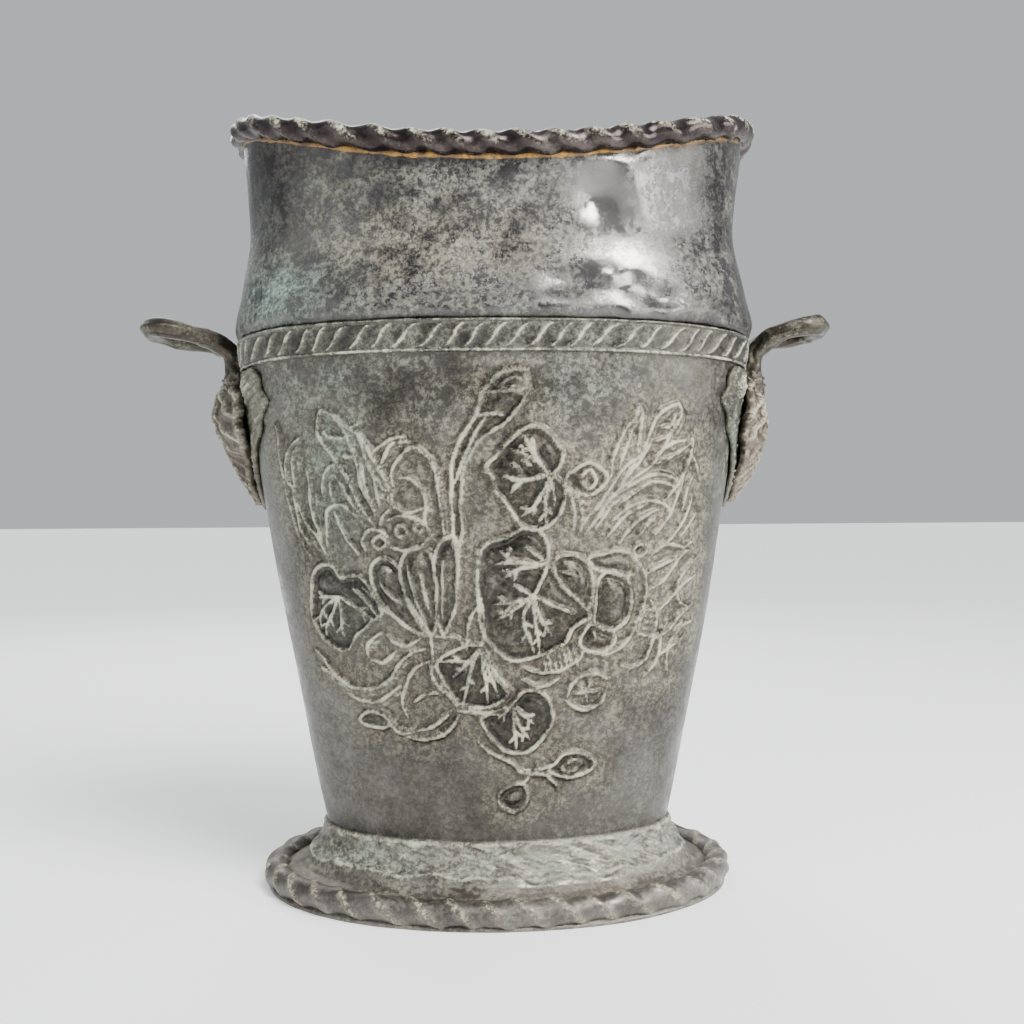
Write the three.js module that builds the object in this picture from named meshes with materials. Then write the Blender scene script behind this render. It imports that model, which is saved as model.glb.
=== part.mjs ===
// An oval brass planter pot on a flared foot, with a roped rim and foot, an embossed shoulder band,
// and a leaf-mounted loop handle at each end. Millimetres, +Z up, X along the oval, front towards -Y,
// and the origin on the ground under the middle of the foot.
import * as THREE from "three";

// Driving dimensions of the sheet metal.
const SHEET = 1.5; // thickness of every sheet part
const GAP = 0.3; // solder gap between two parts that touch
const RIM_MID_HEIGHT = 322.2; // rope centre, halfway between the high ends and the low sides
const RIM_SADDLE = 12.4; // how far the rim rises at the ends and dips at the sides

const FLOOR_HEIGHT = 20; // underside of the pot's floor
const BAND_BOTTOM = 228;
const BAND_TOP = 241;
const NECK_BOTTOM = BAND_TOP + GAP;

const ROPE_RADIUS = 5.3; // over the ridges of the twist
const ROPE_WAIST = 0.72; // the twisted bar's thin way, as a share of its thick way
const ROPE_PITCH = 29; // one full turn of the twist
const ROPE_SIDES = 8;
const ROPE_STEPS_PER_TURN = 6;

const RIM_ROPE = { a: 113.2, b: 74.6, n: 2.35 };

// The body tapers from the floor to the shoulder, a little bowed.
const BODY_FOOT = { a: 76, b: 43.4, n: 2 };
const BODY_SHOULDER = { a: 113.5, b: 74.5, n: 2.45 };
const BODY_BOW = 0.3;

// The foot's brim, and the rope that lies on it, as distances outside the body's bottom oval.
const BRIM_OUT = 29.7;
const FOOT_ROPE_OUT = BRIM_OUT - ROPE_RADIUS - GAP;
const FOOT_ROPE_HEIGHT = SHEET + GAP + ROPE_RADIUS;

const GRIP_RADIUS = 3.9;
const LEAF_TOP = 225.4;
const LEAF_TIP = 169.5;
const LEAF_THICKNESS = 2.4;
const PLATE_THICKNESS = 1.2;
const STEM_RADIUS = 1.8;
const LUG_BOTTOM = 217;
const LUG_TOP = 224.5;
const LUG_HALF_WIDTH = 6;

const RING_SEGMENTS = 52; // facets round each oval ring

const BRASS = {
  sheet: new THREE.MeshStandardMaterial({ color: 0x5a564c, roughness: 0.45, metalness: 0.9 }),
  rope: new THREE.MeshStandardMaterial({ color: 0x4b443c, roughness: 0.4, metalness: 0.95 }),
  foot: new THREE.MeshStandardMaterial({ color: 0x6a675d, roughness: 0.6, metalness: 0.7 }),
  casting: new THREE.MeshStandardMaterial({ color: 0x6e6656, roughness: 0.55, metalness: 0.8 }),
};

const clamp01 = (t) => Math.min(1, Math.max(0, t));
const lerp = THREE.MathUtils.lerp;

// A smooth line through [position, value] pairs.
function through(pairs) {
  const curve = new THREE.SplineCurve(pairs.map(([at, value]) => new THREE.Vector2(at, value)));
  const samples = curve.getPoints(24 * (pairs.length - 1));
  return (at) => {
    const next = samples.findIndex((point) => point.x >= at);
    if (next === -1) return samples.at(-1).y;
    if (next === 0) return samples[0].y;
    const [low, high] = [samples[next - 1], samples[next]];
    return lerp(low.y, high.y, (at - low.x) / (high.x - low.x));
  };
}

// A point of the rounded oval with half-lengths a and b. Angle 0 is the +X end and -90 degrees the front.
function ovalPoint({ a, b, n }, angle) {
  const side = (value, reach) => Math.sign(value) * reach * Math.abs(value) ** (2 / n);
  return new THREE.Vector2(side(Math.cos(angle), a), side(Math.sin(angle), b));
}

const grown = (oval, by) => ({ ...oval, a: oval.a + by, b: oval.b + by });

// The body's outer oval at a height.
function bodyOval(height) {
  const t = clamp01((height - FLOOR_HEIGHT) / (BAND_TOP - FLOOR_HEIGHT));
  const bowed = t * (1 + BODY_BOW * (1 - t));
  return {
    a: lerp(BODY_FOOT.a, BODY_SHOULDER.a, bowed),
    b: lerp(BODY_FOOT.b, BODY_SHOULDER.b, bowed),
    n: lerp(BODY_FOOT.n, BODY_SHOULDER.n, t),
  };
}

// How far out the body's end stands, at a distance off the long axis and a height.
function bodyEndReach(offAxis, height) {
  const { a, b, n } = bodyOval(height);
  return a * (1 - Math.abs(offAxis / b) ** n) ** (1 / n);
}

const rimHeight = (angle) => RIM_MID_HEIGHT + RIM_SADDLE * Math.cos(2 * angle);

// Moves every corner of a geometry by a function, and turns its faces out if that turned them in.
function shaped(geometry, place) {
  const at = geometry.getAttribute("position");
  for (let i = 0; i < at.count; i++) {
    const moved = place(new THREE.Vector3().fromBufferAttribute(at, i));
    at.setXYZ(i, moved.x, moved.y, moved.z);
  }
  const index = geometry.getIndex();
  const corner = (k) => new THREE.Vector3().fromBufferAttribute(at, index.getX(k));
  let volume = 0;
  for (let k = 0; k < index.count; k += 3) volume += corner(k).dot(corner(k + 1).cross(corner(k + 2)));
  if (volume < 0) {
    for (let k = 0; k < index.count; k += 3) {
      const second = index.getX(k + 1);
      index.setX(k + 1, index.getX(k + 2));
      index.setX(k + 2, second);
    }
  }
  geometry.computeVertexNormals();
  return geometry;
}

// A closed oval ring: its section is a loop of stations, each a function from angle to {oval, z}.
function ovalRing(stations) {
  const loop = [...stations, stations[0]];
  const template = loop.map((_, k) => new THREE.Vector2(1, k));
  return shaped(new THREE.LatheGeometry(template, RING_SEGMENTS), (corner) => {
    const angle = Math.atan2(corner.x, corner.z);
    const { oval, z } = loop[Math.round(corner.y)](angle);
    const { x, y } = ovalPoint(oval, angle);
    return new THREE.Vector3(x, y, z);
  });
}

// A curved plate: across and down run from -1 to 1 and 0 to 1, and skin is 0 inside and 1 outside.
function plate(acrossSteps, downSteps, place) {
  return shaped(new THREE.BoxGeometry(2, 1, 1, acrossSteps, downSteps, 1), (corner) =>
    place(corner.x, 0.5 - corner.y, corner.z + 0.5));
}

// Half of the tapered body, with its two upright edges just clear of the other half.
function bodyHalf(side) {
  return plate(30, 7, (across, down, skin) => {
    const z = lerp(BAND_TOP, FLOOR_HEIGHT, down);
    const oval = grown(bodyOval(z), (skin - 1) * SHEET);
    const { x, y } = ovalPoint(oval, (side * Math.PI * (across + 1)) / 2);
    return new THREE.Vector3(x, side * Math.max(side * y, GAP / 2), z);
  });
}

function potFloor() {
  const oval = grown(bodyOval(FLOOR_HEIGHT), -SHEET - GAP);
  const outline = new THREE.Shape(
    Array.from({ length: RING_SEGMENTS }, (_, k) => ovalPoint(oval, (2 * Math.PI * k) / RING_SEGMENTS)));
  return new THREE.ExtrudeGeometry(outline, { depth: SHEET, bevelEnabled: false })
    .translate(0, 0, FLOOR_HEIGHT);
}

// The foot: a flat brim, a cone and a step up to the collar that the body stands in, then back down inside.
// Each station is how far outside the body's bottom oval it lies, and its height.
const COLLAR_HEIGHT = 27.6;
const FOOT_OUTSIDE = [
  [BRIM_OUT, 0], [BRIM_OUT, SHEET], [19.4, SHEET], [14.4, 6.4], [8.3, 14.6],
  [6.2, 17.6], [4.2, 19], [3.5, 23],
];
const FOOT_INSIDE = [[1.2, 18.4], [4.8, 16.4], [6.9, 13.6], [12.9, 5.2], [17.7, 0]];

function footFlange() {
  const collar = grown(bodyOval(COLLAR_HEIGHT), GAP + 0.1);
  const belled = ([out, z]) => ({ oval: grown(BODY_FOOT, out), z });
  const section = [
    ...FOOT_OUTSIDE.map(belled),
    { oval: grown(collar, SHEET), z: COLLAR_HEIGHT },
    { oval: collar, z: COLLAR_HEIGHT },
    ...FOOT_INSIDE.map(belled),
  ];
  return ovalRing(section.map((station) => () => station));
}

// The strip round the shoulder, with a raised bead along each edge.
function shoulderBand() {
  const height = BAND_TOP - BAND_BOTTOM;
  const section = [
    [GAP, 0], [1.4, 0], [2.1, 0.09], [1.5, 0.2], [1.5, 0.8], [2.1, 0.91], [1.4, 1], [GAP, 1],
  ];
  return ovalRing(section.map(([out, share]) => () => {
    const z = BAND_BOTTOM + share * height;
    return { oval: grown(bodyOval(z), out), z };
  }));
}

// The neck: swollen over the band, drawn in at its waist, and opening to the saddle-shaped rim.
const neckSwell = through([[0, 5.3], [0.08, 6.8], [0.28, 3.3], [0.5, 0], [0.72, 1.2], [1, 3.4]]);
const NECK_WAIST = { a: 109.2, b: 70.4 };
const NECK_SHARES = [0, 0.08, 0.26, 0.5, 0.76, 1];

function neckCollar() {
  const station = (share, inward) => (angle) => {
    const edge = rimHeight(angle) - ROPE_RADIUS - 2 * GAP;
    const swell = neckSwell(share) - inward;
    const oval = { a: NECK_WAIST.a + swell, b: NECK_WAIST.b + swell, n: lerp(2.45, 2.35, share) };
    return { oval, z: lerp(NECK_BOTTOM, edge, share) };
  };
  const outer = NECK_SHARES.map((share) => station(share, 0));
  const inner = [...NECK_SHARES].reverse().map((share) => station(share, SHEET));
  return ovalRing([...outer, ...inner]);
}

// A twisted bar bent round an oval, its two ends meeting at the back.
function twistedRope(oval, heightAt) {
  const centre = (angle) => {
    const { x, y } = ovalPoint(oval, angle);
    return new THREE.Vector3(x, y, heightAt(angle));
  };
  const count = 720;
  const angles = Array.from({ length: count + 1 }, (_, k) => Math.PI / 2 + (2 * Math.PI * k) / count);
  const lengths = [0];
  for (let k = 1; k <= count; k++) {
    lengths.push(lengths[k - 1] + centre(angles[k]).distanceTo(centre(angles[k - 1])));
  }
  const total = lengths[count];
  const angleAt = (length) => {
    const next = Math.max(1, lengths.findIndex((passed) => passed >= length - 1e-9));
    const share = (length - lengths[next - 1]) / (lengths[next] - lengths[next - 1]);
    return lerp(angles[next - 1], angles[next], share);
  };
  const turns = Math.round(total / ROPE_PITCH);
  const bar = new THREE.CylinderGeometry(1, 1, 1, ROPE_SIDES, turns * ROPE_STEPS_PER_TURN);
  const nudge = 0.002;
  return shaped(bar, (corner) => {
    const length = lerp(GAP, total - GAP, corner.y + 0.5);
    const angle = angleAt(length);
    const along = centre(angle + nudge).sub(centre(angle - nudge)).normalize();
    const outward = along.clone().cross(new THREE.Vector3(0, 0, 1)).normalize();
    const upward = outward.clone().cross(along);
    const around = Math.atan2(corner.x, corner.z);
    const off = Math.hypot(corner.x, corner.z);
    const ridged = ROPE_RADIUS * lerp(ROPE_WAIST, 1, Math.cos(around) ** 2) * off;
    const turned = around + (2 * Math.PI * turns * length) / total;
    return centre(angle)
      .addScaledVector(outward, ridged * Math.cos(turned))
      .addScaledVector(upward, ridged * Math.sin(turned));
  });
}

// A round bar along a smooth line through points.
function roundBar(points, radius, sides, steps) {
  const path = new THREE.CatmullRomCurve3(points.map((point) => new THREE.Vector3(...point)));
  const outline = new THREE.Shape(
    Array.from({ length: sides }, (_, k) => {
      const angle = (2 * Math.PI * k) / sides;
      return new THREE.Vector2(radius * Math.cos(angle), radius * Math.sin(angle));
    }));
  return new THREE.ExtrudeGeometry(outline, { steps, extrudePath: path, bevelEnabled: false });
}

// The right-hand handle. Each part is made for the +X end and turned half round for the left.

// The shield on the body's end that covers the seam and carries the leaf.
const shieldHalfWidth = through([[0, 39], [0.2, 43], [0.42, 36], [0.68, 19], [0.88, 8], [1, 1.2]]);

function backplate() {
  return plate(12, 12, (across, down, skin) => {
    const z = lerp(BAND_BOTTOM - 1, LEAF_TIP - 2, down);
    const y = across * shieldHalfWidth(down);
    return new THREE.Vector3(bodyEndReach(y, z) + GAP + skin * PLATE_THICKNESS, y, z);
  });
}

// The leaf's half width, and the space behind its middle rib, from its neck to its tip.
const leafHalfWidth = through([
  [0, 7], [0.13, 15], [0.29, 21.5], [0.42, 19], [0.54, 12.5], [0.68, 11.5], [0.86, 6], [1, 1],
]);
const leafStandOff = through([
  [0, 5.5], [0.12, 8.2], [0.35, 12.4], [0.55, 12.6], [0.75, 9.6], [0.9, 5.2], [1, 2],
]);
const LEAF_EDGE_STAND_OFF = 3.4;

function behindLeaf(across, down) {
  const rib = leafStandOff(down);
  return lerp(rib, Math.min(rib, LEAF_EDGE_STAND_OFF), across * across);
}

function leaf() {
  return plate(10, 16, (across, down, skin) => {
    const z = lerp(LEAF_TOP, LEAF_TIP, down);
    const y = across * leafHalfWidth(down);
    const out = behindLeaf(across, down) + skin * LEAF_THICKNESS;
    return new THREE.Vector3(bodyEndReach(y, z) + out, y, z);
  });
}

// The block between the backplate and the leaf's neck.
function lug() {
  return plate(2, 2, (across, down, skin) => {
    const z = lerp(LUG_TOP, LUG_BOTTOM, down);
    const y = across * LUG_HALF_WIDTH;
    const leafDown = (LEAF_TOP - z) / (LEAF_TOP - LEAF_TIP);
    const leafBack = behindLeaf(y / leafHalfWidth(leafDown), leafDown) - GAP;
    const plateFront = 2 * GAP + PLATE_THICKNESS;
    return new THREE.Vector3(bodyEndReach(y, z) + lerp(plateFront, leafBack, skin), y, z);
  });
}

// The twig's tail, from under the lug down behind the leaf to the backplate.
function stem() {
  const behind = [[LUG_BOTTOM - GAP, 5.6], [205, 7.4], [192, 6.8], [182, 3.9]];
  const points = behind.map(([z, out]) => [bodyEndReach(0, z) + out, 0, z]);
  return roundBar(points, STEM_RADIUS, 8, 10);
}

// The ribbed binding over the leaf's neck, where the grip's two arms come in.
const BINDING = { x: 121.2, z: 230.2, halfX: 5.3, halfY: 10.4, halfZ: 4.3 };

function binding() {
  const ribs = [
    [0, -1], [0.82, -1], [0.98, -0.72], [0.84, -0.42], [1, -0.1],
    [0.86, 0.24], [0.98, 0.6], [0.8, 1], [0, 1],
  ];
  const profile = ribs.map(([out, up]) => new THREE.Vector2(out, up));
  return shaped(new THREE.LatheGeometry(profile, 16), ({ x, y, z }) =>
    new THREE.Vector3(BINDING.x + BINDING.halfX * z, BINDING.halfY * x, BINDING.z + BINDING.halfZ * y));
}

// The loop: up out of the binding, outward, round the bow and back.
function grip() {
  const foot = BINDING.z + BINDING.halfZ + 2 * GAP;
  const arm = [
    [120.6, 5.4, foot],
    [120.8, 5.6, foot + 3],
    [125.6, 10.6, 243.8],
    [134.5, 15.6, 246.6],
    [143.5, 17.3, 248.2],
    [150.4, 11.6, 249.2],
  ];
  const front = arm.map(([x, y, z]) => [x, -y, z]);
  return roundBar([...front, [153.1, 0, 249.6], ...arm.reverse()], GRIP_RADIUS, 8, 44);
}

function mesh(name, geometry, material) {
  const made = new THREE.Mesh(geometry, material);
  made.name = name;
  return made;
}

function handle(side) {
  const group = new THREE.Group();
  group.add(
    mesh(`${side}_backplate`, backplate(), BRASS.casting),
    mesh(`${side}_lug`, lug(), BRASS.casting),
    mesh(`${side}_leaf`, leaf(), BRASS.casting),
    mesh(`${side}_stem`, stem(), BRASS.casting),
    mesh(`${side}_binding`, binding(), BRASS.casting),
    mesh(`${side}_grip`, grip(), BRASS.casting),
  );
  if (side === "left") group.rotation.z = Math.PI;
  return group;
}

const planter = new THREE.Group();
planter.add(
  mesh("body_front", bodyHalf(-1), BRASS.sheet),
  mesh("body_back", bodyHalf(1), BRASS.sheet),
  mesh("pot_floor", potFloor(), BRASS.sheet),
  mesh("foot_flange", footFlange(), BRASS.foot),
  mesh("foot_rope", twistedRope(grown(BODY_FOOT, FOOT_ROPE_OUT), () => FOOT_ROPE_HEIGHT), BRASS.rope),
  mesh("shoulder_band", shoulderBand(), BRASS.sheet),
  mesh("neck_collar", neckCollar(), BRASS.sheet),
  mesh("rim_rope", twistedRope(RIM_ROPE, rimHeight), BRASS.rope),
  handle("left"),
  handle("right"),
);

export default planter;
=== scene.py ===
"""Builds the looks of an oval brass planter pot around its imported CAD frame."""

import logging
import math
from collections.abc import Callable, Sequence
from dataclasses import dataclass
from enum import Enum

import bmesh
import bpy
import numpy as np
from mathutils import Matrix, Quaternion, Vector


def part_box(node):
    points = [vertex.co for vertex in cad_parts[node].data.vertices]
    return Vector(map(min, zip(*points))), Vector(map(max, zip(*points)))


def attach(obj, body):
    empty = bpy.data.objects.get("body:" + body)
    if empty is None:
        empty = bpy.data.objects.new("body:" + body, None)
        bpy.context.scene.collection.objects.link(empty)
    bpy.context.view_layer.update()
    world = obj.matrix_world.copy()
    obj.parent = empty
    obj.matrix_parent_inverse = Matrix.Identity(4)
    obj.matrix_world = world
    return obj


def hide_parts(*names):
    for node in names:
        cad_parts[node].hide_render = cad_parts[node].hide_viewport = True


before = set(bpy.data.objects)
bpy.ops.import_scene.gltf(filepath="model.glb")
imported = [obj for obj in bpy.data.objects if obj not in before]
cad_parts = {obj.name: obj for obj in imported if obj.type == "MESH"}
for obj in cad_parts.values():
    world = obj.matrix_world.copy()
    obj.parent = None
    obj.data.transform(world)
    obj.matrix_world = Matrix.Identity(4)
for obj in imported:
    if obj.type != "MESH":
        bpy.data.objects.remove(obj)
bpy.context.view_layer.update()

MM = 0.001
BODY = "root"
CREST = "crest"  # vertex attribute: 1 on a raised line or a ridge, where pale crust lies; on the ropes it is partly a painted highlight on the lobes' top side
FURROW = "furrow"  # vertex attribute: 1 in the trough beside a raised line, where the tarnish is darker; on the neck it carries painted shade along the lower edge and painted shadows
log = logging.getLogger("planter")

Place = Callable[[np.ndarray], np.ndarray]
Line = tuple[tuple[float, float], ...]
Socket = bpy.types.NodeSocket | float | tuple[float, ...]


class Slot(Enum):
    """The material slots."""

    SHEET = "sheet_brass"
    ROPE = "rope_brass"
    FOOT = "foot_brass"
    CAST = "cast_brass"


# ---------------------------------------------------------------- shapes and numbers


def lerp(low: np.ndarray | float, high: np.ndarray | float, share: np.ndarray | float) -> np.ndarray:
    """Blends low into high by share."""
    return np.asarray(low) + (np.asarray(high) - low) * share


def smooth_step(value: np.ndarray, low: float, high: float) -> np.ndarray:
    """A soft step from 0 at low to 1 at high."""
    share = np.clip((value - low) / (high - low), 0, 1)
    return share * share * (3 - 2 * share)


def smooth_line(points: Sequence[Sequence[float]], count: int) -> np.ndarray:
    """A smooth line through points.

    Args:
        points: the points that the line passes through, in any number of dimensions. A line that
            ends where it starts is smooth there too.
        count: how many points to return.

    Returns:
        The line's points, one row each.
    """
    rows = np.array(points, float)
    closed = len(points) > 3 and np.allclose(rows[0], rows[-1])
    before = rows[-2] if closed else 2 * rows[0] - rows[1]
    after = rows[1] if closed else 2 * rows[-1] - rows[-2]
    rows = np.vstack([before, rows, after])
    at = np.linspace(0, len(points) - 1, count)
    start = np.minimum(at.astype(int), len(points) - 2)
    t = (at - start)[:, None]
    a, b, c, d = (rows[start + k] for k in range(4))
    return 0.5 * (2 * b + (c - a) * t + (2 * a - 5 * b + 4 * c - d) * t**2 + (3 * b - a - 3 * c + d) * t**3)


def ripple(angle: np.ndarray, height: np.ndarray, seed: int, size: float) -> np.ndarray:
    """Slow unevenness of hand-worked sheet.

    Args:
        angle: angle round the pot, in radians.
        height: height in metres.
        seed: which of many patterns.
        size: the depth of the unevenness in metres.

    Returns:
        How far out each point is moved.
    """
    dice = np.random.default_rng(seed)
    total = np.zeros(np.broadcast(angle, height).shape)
    for _ in range(9):
        turns = dice.integers(1, 12)
        rise = dice.uniform(-90, 90)
        total += dice.uniform(0.4, 1) * np.sin(turns * angle + rise * height + dice.uniform(0, math.tau))
    return total * size / 3


@dataclass(frozen=True)
class Oval:
    """A rounded oval. Its numbers may be arrays, one for each point.

    Angle 0 is the +X end, and -90 degrees is the front.
    """

    a: np.ndarray | float
    b: np.ndarray | float
    n: np.ndarray | float = 2.0

    def grown(self, by: np.ndarray | float) -> "Oval":
        """The oval with its outline moved out by a distance."""
        return Oval(self.a + by, self.b + by, self.n)

    def at(self, angle: np.ndarray) -> np.ndarray:
        """The outline's points at angles, one row each.

        Args:
            angle: angles round the pot, in radians.

        Returns:
            The outline's points, one row for each angle.
        """
        cos, sin = np.cos(angle), np.sin(angle)
        x = np.sign(cos) * self.a * np.abs(cos) ** (2 / self.n)
        y = np.sign(sin) * self.b * np.abs(sin) ** (2 / self.n)
        return np.stack([x, y], -1)

    def outward(self, angle: np.ndarray) -> np.ndarray:
        """The outline's outward normals at angles, one row each.

        Args:
            angle: angles round the pot, in radians.

        Returns:
            Unit vectors that point out, one row for each angle.
        """
        step = 0.004
        along = self.at(angle + step) - self.at(angle - step)
        along /= np.linalg.norm(along, axis=-1, keepdims=True)
        return np.stack([along[..., 1], -along[..., 0]], -1)


@dataclass(frozen=True)
class PotShape:
    """The pot's own laws of shape, read off the frame, in metres."""

    bottom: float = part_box("body_front")[0].z
    top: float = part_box("body_front")[1].z
    floor_gap: float = 1.8 * MM
    bow: float = 0.3
    shoulder_n: float = 2.45
    rim_n: float = 2.35
    rope_radius: float = 5.3 * MM
    rim_rise: float = 12.4 * MM

    def body(self, height: np.ndarray) -> Oval:
        """The body's outer oval at heights.

        Args:
            height: heights, in metres.

        Returns:
            The oval, or one oval for each height.
        """
        floor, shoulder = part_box("pot_floor")[1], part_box("body_back")[1]
        share = np.clip((height - self.bottom) / (self.top - self.bottom), 0, 1)
        bowed = share * (1 + self.bow * (1 - share))
        return Oval(
            lerp(floor.x + self.floor_gap, shoulder.x, bowed),
            lerp(floor.y + self.floor_gap, shoulder.y, bowed),
            lerp(2.0, self.shoulder_n, share),
        )

    def rim_height(self, angle: np.ndarray) -> np.ndarray:
        """The height of the rim rope's centre: high at the ends and low at the front and back."""
        low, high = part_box("rim_rope")
        return (low.z + high.z) / 2 + self.rim_rise * np.cos(2 * angle)

    def rim_oval(self) -> Oval:
        """The oval of the rim rope's centre."""
        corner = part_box("rim_rope")[1]
        return Oval(corner.x - self.rope_radius, corner.y - self.rope_radius, self.rim_n)

    def end_reach(self, off_axis: np.ndarray, height: np.ndarray) -> np.ndarray:
        """How far out the body's end stands, off the long axis and at a height."""
        oval = self.body(height)
        return oval.a * (1 - np.abs(off_axis / oval.b) ** oval.n) ** (1 / oval.n)


# ---------------------------------------------------------------- mesh helpers


def reshape(bm: bmesh.types.BMesh, place: Place) -> None:
    """Moves every vertex of a mesh by a function.

    Args:
        bm: the mesh.
        place: takes all the vertices, one row each, and returns where they go.
    """
    for vertex, spot in zip(bm.verts, place(np.array([v.co for v in bm.verts]))):
        vertex.co = spot


def slab(columns: int, rows: int, finer: int = 1) -> bmesh.types.BMesh:
    """A closed flat slab: x from -1 to 1, y from 0 to 1, and z 0 inside and 1 outside.

    Args:
        columns: faces across.
        rows: faces up.
        finer: each face of the outside is cut into finer by finer.

    Returns:
        The slab's mesh.
    """
    bm = bmesh.new()
    bmesh.ops.create_cube(bm, size=1)
    bmesh.ops.scale(bm, vec=(2, 1, 1), verts=bm.verts)
    bmesh.ops.translate(bm, vec=(0, 0.5, 0.5), verts=bm.verts)
    for axis, parts in ((0, columns), (1, rows)):
        along = [e for e in bm.edges if abs(e.verts[0].co[axis] - e.verts[1].co[axis]) > 0.5]
        bmesh.ops.subdivide_edges(bm, edges=along, cuts=parts - 1, use_grid_fill=True)
    if finer > 1:
        outside = [e for e in bm.edges if min(v.co.z for v in e.verts) > 0.5]
        bmesh.ops.subdivide_edges(bm, edges=outside, cuts=finer - 1, use_grid_fill=True)
    return bm


def ring(profile: np.ndarray, steps: int) -> bmesh.types.BMesh:
    """A closed ring of radius 1 from a closed section.

    Args:
        profile: the section's points: distance outside radius 1, and height.
        steps: facets round the ring.

    Returns:
        The ring's mesh.
    """
    bm = bmesh.new()
    corners = [bm.verts.new((1 + out, 0, up)) for out, up in profile]
    edges = [bm.edges.new((corners[k - 1], corners[k])) for k in range(len(corners))]
    bmesh.ops.spin(
        bm, geom=corners + edges, cent=(0, 0, 0), axis=(0, 0, 1), angle=math.tau, steps=steps, use_merge=True
    )
    bmesh.ops.remove_doubles(bm, verts=bm.verts, dist=1e-6)
    bmesh.ops.recalc_face_normals(bm, faces=bm.faces)
    return bm


def rod(sides: int, steps: int) -> bmesh.types.BMesh:
    """A closed round bar of radius 1 along z from 0 to 1, with flat ends, each inset with a smaller ring.

    Args:
        sides: facets round the rod.
        steps: facets along it.

    Returns:
        The mesh.
    """
    bm = bmesh.new()
    bmesh.ops.create_cone(bm, cap_ends=True, segments=sides, radius1=1, radius2=1, depth=1)
    bmesh.ops.translate(bm, vec=(0, 0, 0.5), verts=bm.verts)
    long = [e for e in bm.edges if abs(e.verts[0].co.z - e.verts[1].co.z) > 0.5]
    caps = [f for f in bm.faces if len(f.verts) > 4]
    bmesh.ops.subdivide_edges(bm, edges=long, cuts=steps - 1, use_grid_fill=True)
    bmesh.ops.inset_region(bm, faces=caps, thickness=0.45)
    return bm


def along_path(path: np.ndarray, share: np.ndarray) -> tuple[np.ndarray, np.ndarray, np.ndarray]:
    """Points and two cross directions along a path.

    Args:
        path: the path's points, close together, one row each.
        share: where along its length, from 0 to 1.

    Returns:
        The points, the level direction across the path, and the direction square to both.
    """
    passed = np.concatenate([[0], np.cumsum(np.linalg.norm(np.diff(path, axis=0), axis=1))])
    passed /= passed[-1]

    def spot(where: np.ndarray) -> np.ndarray:
        """Points at shares of the path's length."""
        return np.stack([np.interp(where, passed, path[:, k]) for k in range(3)], -1)

    step = 0.01
    heading = spot(np.clip(share + step, 0, 1)) - spot(np.clip(share - step, 0, 1))
    heading /= np.linalg.norm(heading, axis=-1, keepdims=True)
    across = np.cross(heading, np.array([0.0, 0.0, 1.0]))
    across /= np.linalg.norm(across, axis=-1, keepdims=True)
    return spot(share), across, np.cross(across, heading)


def finished(
    name: str, bm: bmesh.types.BMesh, material: bpy.types.Material, replaces: Sequence[str] = ()
) -> bpy.types.Object:
    """Turns a mesh into a piece of the object that rides on the pot.

    Args:
        name: the piece's name.
        bm: its mesh, in place. It is freed.
        material: its finish.
        replaces: the CAD nodes that it stands for.

    Returns:
        The piece.
    """
    mesh = bpy.data.meshes.new(name)
    bm.to_mesh(mesh)
    bm.free()
    mesh.shade_smooth()
    mesh.materials.append(material)
    piece = bpy.data.objects.new(name, mesh)
    bpy.context.scene.collection.objects.link(piece)
    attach(piece, BODY)
    if replaces:
        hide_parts(*replaces)
    log.info("%s: %d faces", name, len(mesh.polygons))
    return piece


def paint(piece: bpy.types.Object, name: str, values: np.ndarray) -> None:
    """Stores a value for each vertex of a piece, for its material to read."""
    layer = piece.data.attributes.new(name, "FLOAT", "POINT")
    layer.data.foreach_set("value", values.astype(np.float32))


def corners_of(bm: bmesh.types.BMesh) -> np.ndarray:
    """All the vertices of a mesh, one row each."""
    return np.array([v.co for v in bm.verts])


# ---------------------------------------------------------------- finishes


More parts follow.
